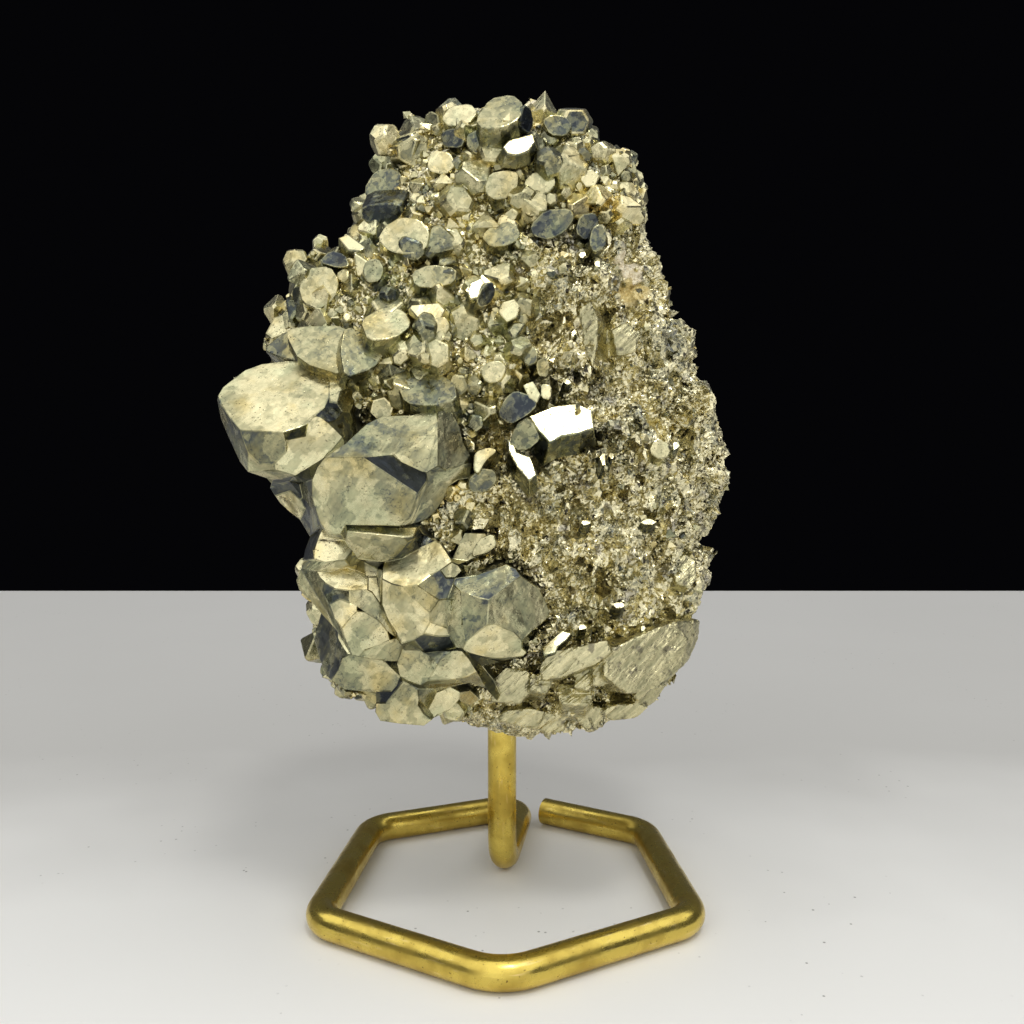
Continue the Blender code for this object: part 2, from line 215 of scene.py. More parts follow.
# Where the facets of the large crystals meet: across and down in the frame of SIGHT, and how deep.
CORNERS = {
    # The great crystal at the left.
    "a1": (218, 395, -21), "a2": (223, 387, -20), "a3": (232, 380, -19), "a4": (245, 370, -17.5),
    "a5": (262, 364, -16.5), "a6": (285, 361, -16.5), "a7": (310, 362, -16.5), "a8": (324, 371, -17),
    "a9": (329, 382, -18.5), "a10": (329, 396, -20.5), "a11": (324, 407, -21.5), "a12": (315, 416, -22.5),
    "a13": (300, 427, -24), "a15": (283, 432, -25), "a16": (240, 430, -25), "a17": (233, 422, -24),
    "a18": (221, 404, -22), "a19": (243, 440, -24.5), "a20": (248, 453, -24), "a22": (248, 472, -21.5),
    "a23": (240, 462, -20.5), "a24": (229, 438, -19.5), "a25": (221, 420, -19.5), "a26": (217, 400, -20),
    "a27": (285, 440, -24.5), "a28": (286, 452, -23.5), "a30": (274, 464, -22.5), "a31": (260, 464, -23),
    "a33": (275, 470, -22), "a34": (260, 471, -21.5), "a37": (285, 472, -22.5), "a38": (295, 476, -22),
    "a39": (272, 480, -19.5), "a40": (308, 423, -23.5), "a41": (305, 436, -23), "a43": (288, 440, -23.5),
    "a44": (320, 417, -23.5), "a45": (328, 423, -23.5), "a46": (343, 437, -23), "a47": (341, 446, -22.5),
    "a48": (329, 452, -22.5), "a49": (321, 462, -22), "a50": (313, 470, -21.5), "a51": (345, 369, -17),
    "a52": (360, 380, -17), "a53": (340, 391, -20), "a55": (337, 403, -20.5), "a56": (356, 398, -18),
    "a57": (350, 412, -19), "a58": (343, 412, -20), "a59": (336, 420, -21), "a61": (357, 432, -19),
    "a62": (350, 441, -20.5), "a63": (330, 402, -20.5), "a64": (290, 481, -19),
    # The great crystal in the middle and its crown.
    "b1": (325, 457, -26), "b2": (362, 457, -27), "b3": (418, 494, -26.5), "b4": (409, 518, -26),
    "b5": (400, 526, -26), "b6": (346, 525, -26.5), "b7": (341, 534, -25.5), "b8": (329, 535, -25),
    "b9": (320, 523, -24.5), "b10": (312, 497, -24), "b11": (312, 480, -24.5), "b12": (317, 467, -25.5),
    "b13": (345, 444, -25), "b14": (366, 424, -22), "b15": (382, 416, -20.5), "b16": (412, 415, -20.5),
    "b17": (437, 408, -20), "b18": (393, 454, -24.5), "b19": (412, 446, -24.5), "b20": (432, 438, -24),
    "b21": (438, 428, -23), "c1": (401, 462, -23.5), "c2": (415, 471, -23), "c3": (427, 473, -23),
    "c4": (427, 481, -24), "d1": (438, 466, -24), "e1": (446, 407, -20), "e2": (453, 414, -20),
    "e3": (459, 427, -20.5), "e4": (463, 442, -20.5), "e5": (470, 455, -20), "e6": (464, 464, -21),
    "e7": (446, 470, -22.5), "f1": (472, 462, -19), "f2": (470, 478, -18.5), "f3": (458, 480, -18.5),
    "f4": (449, 486, -18.5), "f5": (443, 500, -18.5), "f6": (436, 511, -18.5), "f7": (427, 519, -18.5),
    "f8": (414, 524, -19), "h2": (310, 505, -19), "h3": (303, 497, -18), "h4": (300, 484, -18),
    # The left edge between the great crystals and the low ones.
    "i1": (275, 496, -15), "i2": (290, 491, -17), "i3": (300, 500, -18), "i4": (305, 508, -17.5),
    "i5": (300, 520, -15.5), "i6": (290, 512, -14.5), "i7": (280, 503, -14), "i8": (270, 488, -15),
    "i9": (319, 530, -18), "i10": (310, 537, -16), "i11": (305, 550, -15), "i12": (303, 560, -15),
    "k0": (322, 528, -22), "k1": (318, 540, -21), "k2": (314, 550, -21), "k3": (314, 559, -21),
    "k4": (352, 550, -22.5), "k5": (345, 560, -22.5), "k6": (325, 562, -22.5), "k7": (330, 537, -22.5),
    "k8": (345, 540, -22.5),
    # The ledge.
    "m1": (347, 523, -25), "m2": (370, 527, -24.5), "m3": (400, 528, -24.5), "m4": (418, 527, -23),
    "m5": (413, 537, -25), "m6": (404, 538, -26), "m7": (385, 535, -26.5), "m8": (356, 533, -26.5),
    "m9": (347, 531, -26), "n1": (408, 542, -25), "n2": (401, 551, -24.5), "n3": (393, 559, -24),
    "n4": (382, 562, -24), "n5": (358, 559, -24), "n6": (352, 550, -24.5), "n7": (346, 538, -25),
    "o1": (425, 535, -20), "p1": (366, 575, -20.5), "p2": (355, 570, -20.5), "p3": (347, 567, -20.5),
    "p4": (364, 562, -20.5), "p5": (378, 569, -20), "p6": (377, 577, -20), "r1": (349, 565, -21.5),
    "r2": (340, 569, -20.5), "r3": (330, 572, -20.5), "r4": (316, 571, -20), "r5": (301, 569, -16.5),
    # The low crystal at the left.
    "s1": (368, 577, -21.5), "s2": (368, 590, -23.5), "s3": (350, 590, -24), "s4": (335, 589, -23.5),
    "s5": (325, 583, -22.5), "s6": (320, 577, -21.5), "t1": (379, 590, -22), "t2": (381, 605, -22.5),
    "t3": (372, 592, -23), "u1": (388, 620, -22.5), "u2": (396, 638, -22), "u3": (388, 632, -23.5),
    "u4": (378, 620, -24), "u5": (365, 612, -24.5), "u6": (357, 607, -24.5), "u7": (350, 603, -24.5),
    "u8": (340, 599, -24.5), "u9": (329, 604, -24), "u10": (357, 611, -25), "u11": (350, 618, -25),
    "u12": (342, 628, -24.5), "u13": (335, 619, -24), "u14": (390, 640, -23.5), "u15": (378, 645, -24),
    "u16": (365, 650, -24), "u17": (359, 657, -23.5), "u18": (352, 655, -23), "u19": (347, 643, -24),
    "u20": (404, 645, -21), "u22": (398, 661, -21), "u23": (383, 660, -22), "u24": (372, 659, -22.5),
    "v1": (322, 590, -22), "w1": (345, 645, -21.5), "w2": (338, 632, -21), "w3": (326, 610, -19.5),
    "w4": (312, 588, -18), "w5": (332, 625, -18), "w6": (321, 613, -16.5), "w7": (310, 600, -15.5),
    "w8": (299, 590, -14.5), "w9": (296, 580, -14.5), "x2": (348, 655, -22.5), "x3": (342, 647, -21.5),
    "x4": (338, 638, -20.5),
    # Its foot.
    "y1": (342, 658, -22), "y2": (338, 670, -22), "y3": (331, 680, -21), "y4": (326, 676, -19),
    "y5": (320, 660, -17), "y6": (314, 640, -15), "y7": (317, 628, -15), "z1": (391, 668, -22),
    "z2": (400, 676, -21), "z3": (396, 685, -21), "z4": (391, 691, -21), "z5": (375, 692, -21.5),
    "z6": (345, 690, -21.5),
    # The row under the low crystals.
    "g1": (397, 664, -20), "g3": (405, 650, -22), "g4": (420, 650, -22.5), "g5": (428, 656, -22.5),
    "g6": (433, 672, -22), "g7": (428, 680, -21.5), "g8": (420, 684, -21.5), "g9": (408, 681, -21.5),
    "ha1": (440, 660, -22.5), "ha2": (452, 651, -22.5), "ha3": (461, 650, -22.5), "ha4": (469, 659, -22.5),
    "ha5": (477, 672, -22), "ha6": (465, 678, -21.5), "ha7": (450, 680, -21.5), "ia1": (466, 652, -21),
    "ia2": (482, 665, -20), "ia3": (494, 680, -19), "ia4": (501, 695, -18), "ia5": (497, 701, -18),
    "ia6": (487, 689, -19.5), "na1": (470, 683, -20), "na2": (450, 687, -20), "na3": (434, 689, -20),
    "na4": (418, 689, -20), "la1": (403, 681, -20), "la4": (419, 700, -20.5), "la5": (418, 705, -21),
    "la6": (424, 714, -20.5), "la7": (432, 720, -19.5), "la8": (424, 726, -20), "la9": (400, 724, -20),
    "la10": (380, 721, -20), "la11": (375, 712, -19.5), "la12": (376, 703, -19), "la13": (386, 703, -20.5),
    "la14": (376, 693, -18), "lb1": (428, 709, -18), "lb2": (434, 718, -18), "ma1": (437, 692, -18),
    "ma3": (450, 687, -19), "ma4": (460, 692, -19), "ma5": (459, 700, -19), "ma6": (450, 710, -19),
    "ma7": (438, 716, -18.5), "mb1": (470, 690, -18), "mb2": (480, 699, -17), "mb3": (470, 706, -17),
    "mb4": (461, 702, -17.5),
    # The low crystal in the middle.
    "j1": (384, 562, -22), "j2": (402, 558, -21.5), "j3": (420, 548, -21), "j4": (436, 541, -20.5),
    "j5": (441, 544, -20.5), "j6": (450, 558, -21.5), "j7": (452, 562, -22), "j8": (440, 570, -24),
    "j9": (430, 575, -24.5), "j10": (417, 585, -25.5), "j11": (402, 586, -26), "j12": (392, 584, -25),
    "j13": (382, 579, -24), "j14": (382, 570, -23), "j15": (458, 565, -21), "j16": (462, 571, -20.5),
    "j17": (455, 578, -21.5), "j18": (446, 578, -23), "j19": (453, 584, -22), "j20": (447, 599, -23.5),
    "j21": (439, 600, -24.5), "j22": (425, 591, -25.5), "j23": (430, 613, -25.5), "j24": (420, 605, -26),
    "j25": (412, 597, -26), "j26": (430, 622, -25), "j27": (424, 633, -24.5), "j28": (414, 640, -24.5),
    "j29": (402, 643, -24), "j30": (397, 634, -24), "j31": (389, 620, -24), "j32": (382, 605, -23.5),
    "j33": (453, 600, -23), "j34": (450, 615, -23), "j35": (447, 628, -23), "j36": (450, 636, -22.5),
    "j37": (436, 636, -23.5), "j38": (456, 648, -21.5), "j39": (440, 651, -21.5), "j40": (425, 653, -22),
    # The low crystal at the right.
    "q3": (476, 575, -21), "q4": (490, 570, -20.5), "q5": (506, 564, -20), "q6": (516, 569, -20.5),
    "q7": (521, 576, -21.5), "q8": (510, 583, -23), "q9": (500, 591, -24), "q10": (489, 600, -24.5),
    "q11": (480, 598, -24.5), "q12": (470, 595, -24.5), "q13": (460, 591, -24), "q14": (531, 583, -20.5),
    "q15": (539, 588, -19.5), "q16": (545, 600, -19.5), "q17": (550, 612, -19.5), "q18": (548, 618, -20),
    "q19": (539, 626, -21), "q20": (530, 633, -22), "q21": (522, 641, -22.5), "q22": (514, 632, -24),
    "q23": (504, 628, -24.5), "q24": (495, 624, -25), "q25": (487, 625, -25), "q26": (478, 632, -24.5),
    "q27": (470, 639, -24), "q28": (465, 643, -23.5), "q29": (462, 625, -23.5), "q30": (462, 605, -23.5),
    "q31": (463, 649, -23), "q32": (522, 648, -21.5), "q33": (527, 652, -20.5), "q34": (524, 656, -21),
    "q35": (505, 658, -22), "q36": (490, 658, -22.5), "q37": (478, 655, -23), "q38": (466, 652, -23),
    "q39": (552, 620, -16), "q40": (540, 632, -17), "q41": (531, 645, -18), "q42": (500, 662, -18),
    "s11": (452, 559, -20), "s12": (460, 543, -20), "s13": (465, 533, -19), "s14": (485, 533, -18),
    "s15": (491, 541, -18), "s16": (488, 552, -18.5), "s17": (480, 556, -19), "s18": (468, 561, -20),
}

# The facets of the large crystals: their corners in turn, their tone, and the way a warped one faces overall.
NET = (
    ("a1 a2 a3 a4 a5 a6 a7 a8 a9 a10 a11 a12 a13 a15 a16 a17 a18", 0.72),
    ("a1 a18 a17 a16 a19 a20 a22 a23 a24 a25 a26", 0.35),
    ("a16 a15 a27 a28 a30 a31 a20 a19", 0.34),
    ("a20 a31 a30 a33 a34 a22", 0.7),
    ("a22 a34 a33 a37 a38 a39", 0.6),
    ("a15 a13 a40 a41 a43 a27", 0.25),
    ("a40 a12 a44 a45 a46 a47 a48 a49 a50 a38 a37 a33 a30 a28 a27 a43 a41", 0.8, (0, 0)),
    ("a13 a12 a40", 0.3),
    ("a8 a51 a52 a53 a10 a9", 0.65, (5, 40)),
    ("a10 a53 a55 a63", 0.75),
    ("a53 a52 a56 a57 a58 a55", 0.4),
    ("a10 a63 a55 a58 a59 a45 a44 a12 a11", 0.12),
    ("a45 a59 a58 a57 a61 a62 a46", 0.4),
    ("a46 a62 b13 b1 a48 a47", 0.45),
    ("a48 b1 b12 b11 h4 a64 a38 a50 a49", 0.35),
    ("b1 b2 b3 b4 b5 b6 b7 b8 b9 b10 b11 b12", 0.58, (0, 0)),
    ("b1 b13 b14 b15 b16 b17 b21 b20 b19 b18 b2", 0.47, (-5, 38)),
    ("b2 b18 c1 c2 c3 c4 b3", 0.08),
    ("b18 b19 b20 b21 d1 c3 c2 c1", 0.55, (10, 20)),
    ("b17 e1 e2 e3 e4 e5 e6 e7 d1 b21", 0.55, (30, 10)),
    ("c3 d1 e7 e6 f1 f2 f3 f4 f5 f6 f7 f8 b5 b4 b3 c4", 0.5, (30, -5)),
    ("e5 f1 e6", 0.4),
    ("h4 b11 b10 b9 h2 h3", 0.3),
    ("a39 a38 a64 h4 h3 i3 i2 i1 i8", 0.2),
    ("i1 i2 i3 i4 i5 i6 i7", 0.8, (-15, 15)),
    ("i3 h3 h2 b9 i9 i10 i5 i4", 0.2),
    ("i9 k1 k2 k3 i12 i11 i10", 0.2),
    ("b9 k0 k1 i9", 0.3),
    ("k0 k7 k8 k4 k5 k6 k3 k2 k1", 0.85, (-8, 30)),
    ("b9 b8 k7 k0", 0.45),
    # Painted shade: the dark groove between the great middle crystal and the crystal below it.
    ("b8 b7 k8 k7", 0.2),
    ("m1 m2 m3 m4 m5 m6 m7 m8 m9", 0.8, (0, 40)),
    ("b6 b5 m3 m2 m1", 0.15),
    ("b5 f8 m4 m3", 0.3),
    ("m9 m8 m7 m6 n1 n2 n3 n4 n5 n6 n7", 0.55),
    ("b7 b6 m1 m9 n7 k8", 0.35),
    ("n7 n6 k4 k8", 0.75, (10, 20)),
    ("m5 m4 o1 n1 m6", 0.2),
    # Painted shade: the shadowed hollow behind the low crystal in the middle.
    ("n1 o1 j4 j3 j2 n3 n2", 0.1),
    ("k4 n6 n5 p4 p1 p2 p3 r1 k5", 0.35),
    ("p4 p5 p6 s1 p1", 1.0, (0, 25)),
    # Painted shade: the dark hole beside the low crystal in the middle.
    ("n5 n4 j1 p5 p4", 0.05),
    ("n3 j2 j1 n4", 0.2),
    ("k3 k6 k5 r1 r2 r3 r4 r5 i12", 0.5, (0, -10)),
    ("r4 r3 r2 p3 p2 p1 s1 s2 s3 s4 s5 s6", 0.95, (0, 36)),
    ("r2 r1 p3", 0.4),
    ("s1 p6 t1 t2 t3 s2", 0.7, (10, 10)),
    ("p5 j14 j13 t1 p6", 0.5, (20, 0)),
    ("s3 s2 t3 t2 u1 u2 u3 u4 u5 u6 u7", 0.5, (20, 15)),
    ("s5 s4 s3 u7 u8 u9 v1", 0.35),
    ("u9 u8 u7 u6 u10 u11 u12 u13", 0.8, (-8, 15)),
    ("u12 u11 u10 u5 u4 u3 u14 u15 u16 u17 u18 u19", 0.66, (0, 3)),
    ("u17 u16 u15 u14 u2 u20 u22 u23 u24", 0.5, (10, -15)),
    ("r5 r4 s6 s5 v1 u9 u13 u12 u19 u18 w1 w2 w3 w4", 0.5, (-20, 10)),
    ("r5 w4 w3 w2 w5 w6 w7 w8 w9", 0.65, (-25, 0)),
    ("w2 w1 u18 x2 x3 x4", 1.0, (-3, 30)),
    ("w5 w2 x4 x3 x2 y1 y2 y3 y4 y5 y6 y7 w6", 0.3),
    ("y1 x2 u18 u17 u24 u23 z1 z2 z3 z4 z5 z6 y3 y2", 0.57, (0, -3)),
    ("u23 u22 g1 z2 z1", 0.1),
    ("g3 g4 g5 g6 g7 g8 g9 z2 g1 u22 u20", 0.6, (-5, 0)),
    ("g6 ha1 ha2 ha3 ha4 ha5 ha6 ha7 g7", 0.62, (5, 5)),
    ("g4 j40 j39 ha2 ha1 g6 g5", 0.45),
    ("ha3 ia1 ia2 ia3 ia4 ia5 ia6 ha5 ha4", 0.45),
    ("z2 g9 g8 g7 ha7 ha6 ha5 ia6 na1 na2 na3 na4 la1", 0.5),
    ("la13 la1 na4 la4 la5 la6 la7 la8 la9 la10 la11 la12", 0.64, (0, -5)),
    ("z5 z4 z3 z2 la1 la13 la12 la14", 0.12),
    ("la5 la4 lb1 lb2 la7 la6", 0.35),
    ("na4 na3 ma1 lb1 la4", 0.45),
    ("lb1 ma1 ma3 ma4 ma5 ma6 ma7 lb2", 0.7, (5, 0)),
    ("ma4 mb1 mb2 mb3 mb4 ma5", 0.65),
    ("na3 na2 ma3 ma1", 0.3),
    ("j1 j2 j3 j4 j5 j6 j7 j8 j9 j10 j11 j12 j13 j14", 0.8, (-3, 33)),
    ("j8 j7 j15 j16 j17 j18", 0.65, (20, 20)),
    ("j10 j9 j8 j18 j17 j19 j20 j21 j22", 0.26, (15, 16)),
    ("j11 j10 j22 j21 j23 j24 j25", 0.45, (15, 0)),
    ("j13 j12 j11 j25 j24 j23 j26 j27 j28 j29 j30 j31 j32", 0.68, (-5, 0)),
    ("j23 j21 j20 j33 j34 j35 j26", 0.55, (30, -5)),
    ("j27 j26 j35 j36 j37", 0.75, (10, 5)),
    ("j28 j27 j37 j36 j38 j39 j40", 0.2),
    ("j29 j28 j40 g4 g3 u20 u2 j30", 0.5),
    ("t1 j13 j32 j31 j30 u2 u1 t2", 0.5),
    ("j19 j17 q3 q4 q5 q6 q7 q8 q9 q10 q11 q12 q13", 0.24, (-5, 36)),
    ("q9 q8 q7 q14 q15 q16 q17 q18 q19 q20 q21 q22 q23 q24 q25 q10", 0.55, (20, 8)),
    ("q13 q12 q11 q10 q25 q26 q27 q28 q29 q30", 0.25, (0, -5)),
    ("j19 q13 q30 q29 q28 q31 j38 j36 j35 j34 j33 j20", 0.5, (-25, 0)),
    ("q31 q28 q27 q26 q25 q24 q23 q22 q21 q32 q33 q34 q35 q36 q37 q38", 0.74, (0, -5)),
    ("q21 q20 q19 q18 q39 q40 q41 q33 q32", 0.35),
    ("q38 q37 q36 q35 q34 q42 ia2 ia1", 0.3),
    ("j38 q31 q38 ia1 ha3 ha2 j39", 0.35),
    ("s11 s12 s13 s14 s15 s16 s17 s18", 0.66, (-10, 5)),
    ("j7 j6 s11 s18 j15", 0.6),
)

NAMED_CRYSTALS = (
    NamedCrystal((-10.5, -17.0, 34.5), 1.9, 0, -10, 10, None),
    NamedCrystal((-5.5, -17.0, 35.0), 2.3, -10, -20, 45, None),
    NamedCrystal((-12.5, -13.0, 29.0), 2.8, 0, -5, 20, None),
    NamedCrystal((-7.0, -13.0, 29.0), 1.9, 10, 5, 0, None),
    NamedCrystal((-4.0, -12.0, 30.0), 1.3, 0, 10, 30, 0.6),
    NamedCrystal((-27.0, -7.0, 54.0), 2.8, -20, -15, 30, None),
    NamedCrystal((-18.5, -11.0, 67.0), 2.4, 20, 30, 0, 0.85),
    NamedCrystal((-19.5, -12.0, 63.5), 1.9, 30, -10, 0, 0.5),
    NamedCrystal((-22.5, -6.0, 72.5), 5.2, -10, 30, 15, None),
    NamedCrystal((-24.5, -4.0, 82.5), 3.0, 5, 5, 10, None),
    NamedCrystal((-15.0, -4.0, 93.5), 3.0, -20, 25, 0, None),
    NamedCrystal((-12.0, -10.0, 87.0), 3.2, 5, 5, 20, None),
    NamedCrystal((-0.5, -6.0, 101.5), 3.5, -5, 40, 0, None),
    NamedCrystal((-7.0, -6.0, 100.5), 2.3, -10, -10, 0, None),
    NamedCrystal((-2.5, -9.0, 99.0), 1.8, 0, -20, 0, None),
    NamedCrystal((2.5, -11.0, 97.5), 1.9, 5, 25, 0, None),
    NamedCrystal((9.0, -5.0, 102.0), 2.3, 10, 0, 0, 0.2),
    NamedCrystal((0.5, -12.5, 92.0), 2.1, 0, 5, 0, None),
    NamedCrystal((5.5, -12.5, 93.0), 2.1, 0, 10, 20, None),
    NamedCrystal((11.0, -11.0, 93.5), 1.4, 0, 0, 0, None),
    NamedCrystal((6.0, -14.0, 88.0), 2.3, 10, -10, 20, None),
    NamedCrystal((11.0, -12.5, 87.0), 2.1, 10, -5, 10, None),
    NamedCrystal((0.0, -13.5, 87.0), 2.0, 0, 45, 0, None),
    NamedCrystal((-16.0, -12.0, 82.5), 1.7, 0, 5, 0, None),
    NamedCrystal((-8.5, -14.5, 81.5), 2.0, 0, -10, 0, None),
    NamedCrystal((-13.5, -13.0, 77.0), 2.7, 0, 45, 0, 0.55),
    NamedCrystal((-7.0, -16.5, 76.0), 1.3, 0, 5, 0, None),
    NamedCrystal((1.0, -16.0, 77.5), 1.3, 10, 10, 0, None),
    NamedCrystal((-2.0, -17.0, 79.5), 1.6, 30, 0, 0, None),
    NamedCrystal((-7.5, -17.0, 72.0), 2.3, 0, 15, 0, 0.6),
    NamedCrystal((-8.5, -19.0, 67.0), 3.0, -5, 45, 0, None),
    NamedCrystal((-14.0, -16.5, 66.0), 1.8, 0, 0, 0, 0.45),
    NamedCrystal((2.5, -20.0, 65.5), 2.3, -10, 0, 0, None),
    NamedCrystal((7.5, -18.5, 63.5), 3.6, 5, 33, 10, None),
    NamedCrystal((3.0, -20.0, 60.0), 2.3, 5, 33, 0, None),
    NamedCrystal((27.0, -2.0, 45.0), 2.6, -20, 20, 0, None),
)

FACETS = (
    # The crest and the dark faces under it.
    Facet(((475, 120), (490, 98), (512, 94), (524, 104), (520, 118), (505, 127), (482, 128)),
          4, -5, 36, 0.5, 6),
    Facet(((524, 104), (531, 108), (534, 122), (530, 134), (521, 128), (520, 118)),
          3.5, 45, 0, 0.08, 3, 0.1),
    Facet(((542, 120), (552, 114), (566, 116), (573, 126), (566, 136), (550, 135)), 1.5, 5, 8, 0.22),
    Facet(((503, 119), (512, 108), (520, 106), (519, 116), (510, 121)), 4, 20, 35, 0.95, 2, 0.1),
    Facet(((441, 118), (450, 106), (470, 103), (478, 112), (468, 124), (448, 126)),
          2, -15, 35, 0.85, 4, 0.2),
    Facet(((440, 133), (450, 128), (463, 130), (465, 140), (461, 148), (443, 147)), 2, -15, -10, 0.2, 4),
    Facet(((466, 135), (478, 129), (495, 130), (500, 140), (492, 154), (476, 155), (467, 147)),
          2, 0, -10, 0.25, 4, 0.2),
    Facet(((503, 147), (509, 140), (520, 137), (533, 133), (535, 142), (529, 151), (518, 155), (507, 154)),
          4, 5, 25, 1, 2, 0.4),
    # The brow.
    Facet(((485, 185), (490, 173), (506, 170), (518, 172), (518, 186), (508, 198), (495, 200), (486, 194)),
          2, 0, 5, 0.65, 4, 0.4),
    Facet(((523, 182), (535, 171), (553, 171), (556, 185), (547, 194), (530, 196)),
          1.5, 5, 10, 0.7, 4, 0.35),
    Facet(((582, 172), (592, 169), (600, 176), (596, 186), (586, 187), (581, 180)),
          1.5, 10, 5, 0.95, 3, 0.4),
    Facet(((462, 178), (470, 172), (478, 175), (478, 187), (468, 190), (462, 186)), 1.5, 0, 15, 0.9),
    Facet(((530, 225), (545, 210), (570, 208), (575, 218), (565, 232), (548, 240), (533, 236)),
          2, 0, -5, 0.25, 4),
    Facet(((575, 232), (580, 215), (595, 212), (600, 222), (596, 235), (585, 240)), 1.8, 15, -5, 0.2, 4),
    Facet(((592, 228), (600, 223), (607, 232), (606, 248), (594, 253), (589, 243)), 2.2, 10, 10, 0.3),
    Facet(((521, 200), (530, 197), (539, 210), (532, 217), (524, 213)), 1.5, -10, 15, 0.9, 2),
    Facet(((481, 236), (495, 222), (515, 221), (521, 236), (510, 245), (490, 247)),
          1.5, 0, 20, 0.45, 4, 0.35),
    # The left shoulder and cheek.
    Facet(((377, 240), (385, 226), (400, 217), (420, 219), (430, 232), (428, 247), (410, 255), (390, 252)),
          2.5, -5, 15, 0.7, 5),
    Facet(((430, 236), (440, 228), (455, 230), (460, 240), (450, 250), (435, 250)), 1.5, 5, 10, 0.4),
    Facet(((375, 170), (395, 167), (407, 182), (400, 200), (372, 205), (363, 190)),
          2, -15, 15, 0.25, 5, 0.15),
    Facet(((361, 205), (400, 203), (403, 215), (385, 228), (362, 222)), 2, -10, -35, 0.05, 4, 0.1),
    Facet(((427, 165), (432, 150), (450, 152), (456, 165), (445, 175), (429, 171)), 1.5, -5, 15, 0.75),
    Facet(((298, 288), (308, 268), (330, 266), (339, 280), (335, 298), (318, 310), (302, 303)),
          2, -10, 15, 0.6, 5, 0.2),
    Facet(((318, 262), (330, 250), (345, 254), (350, 266), (338, 268)), 1.5, -5, 30, 0.1, 4, 0.1),
    Facet(((362, 272), (366, 260), (378, 258), (384, 268), (380, 281), (367, 283)),
          1.8, 0, 5, 0.5, 3, 0.45),
    Facet(((338, 238), (348, 234), (366, 247), (360, 251), (348, 250)), 1.5, -5, 40, 1, 2, 0.2),
    Facet(((411, 272), (430, 264), (457, 268), (455, 282), (435, 288), (415, 286)), 1.5, 0, 20, 0.5, 4),
    Facet(((467, 292), (470, 283), (481, 278), (485, 283), (478, 298), (470, 299)), 1.8, 5, 30, 1, 2, 0.2),
    Facet(((476, 300), (483, 284), (493, 281), (496, 292), (490, 305), (480, 308)), 1.5, 25, 5, 0.15),
    Facet(((498, 312), (503, 302), (514, 299), (520, 306), (517, 317), (507, 322)),
          1.8, 5, 10, 0.95, 2.5, 0.4),
    Facet(((430, 326), (436, 317), (446, 317), (450, 326), (445, 336), (434, 336)),
          1.8, 0, 10, 0.9, 2.5, 0.4),
    Facet(((360, 320), (385, 305), (405, 310), (412, 325), (395, 338), (368, 340)),
          2, 10, 40, 0.55, 4, 0.25),
    Facet(((262, 350), (284, 331), (310, 327), (320, 345), (300, 362), (278, 357)),
          3.5, -25, 30, 0.4, 7, 0.1),
    Facet(((284, 331), (300, 326), (345, 325), (358, 345), (345, 376), (300, 362)), 3, 0, 38, 0.5, 7, 0.1),
    Facet(((345, 325), (370, 335), (386, 350), (375, 368), (345, 378), (340, 350)),
          3, 25, 30, 0.38, 7, 0.1),
    Facet(((397, 385), (415, 374), (440, 374), (455, 382), (457, 400), (430, 406), (405, 403)),
          2, -5, 40, 0.4, 5, 0.25),
    Facet(((497, 415), (505, 398), (515, 390), (530, 395), (538, 405), (528, 415), (510, 425)),
          1.8, -5, 10, 0.15, 4),
    Facet(((480, 371), (487, 362), (500, 360), (507, 368), (500, 382), (486, 383)),
          1.5, 0, 15, 0.65, 3, 0.35),
    Facet(((523, 385), (533, 381), (541, 395), (537, 403), (529, 398)), 1.8, 5, 20, 0.95),
    Facet(((541, 383), (552, 385), (551, 400), (541, 398)), 1.5, 10, 20, 0.9),
    Facet(((509, 445), (515, 425), (528, 417), (538, 432), (540, 440), (528, 450), (512, 452)),
          2, -15, -10, 0.4, 4, 0.2),
    Facet(((529, 416), (553, 406), (577, 403), (592, 410), (594, 428), (580, 433), (562, 436), (550, 443),
           (538, 430)), 2.2, 5, 35, 1, 4, 0.25),
    Facet(((507, 438), (514, 444), (517, 452), (531, 457), (537, 475), (529, 481), (517, 467), (509, 452)),
          2.2, 5, 35, 1, 3, 0.2),
    Facet(((521, 352), (530, 344), (538, 350), (537, 362), (526, 367)), 1.2, -15, 20, 0.35),
    Facet(((536, 362), (544, 356), (551, 364), (548, 377), (538, 376)), 1.2, 15, 5, 0.6),
    Facet(((473, 470), (474, 452), (488, 447), (498, 450), (486, 460), (478, 474)),
          1.5, -10, 20, 0.85, 3, 0.2),
    Facet(((468, 480), (480, 468), (495, 470), (497, 482), (485, 493), (470, 492)), 1.2, 0, -5, 0.3),
    Facet(((470, 557), (478, 540), (493, 533), (497, 545), (488, 553)), 1.5, 0, 10, 0.7, 3, 0.2),
    # The massive side.
    Facet(((649, 452), (655, 438), (668, 443), (671, 455), (660, 460)), 1.5, 10, 20, 0.6),
    Facet(((541, 648), (550, 640), (562, 630), (572, 633), (567, 640), (558, 647), (556, 653), (544, 656)),
          2, 5, 35, 1, 2, 0.1),
)

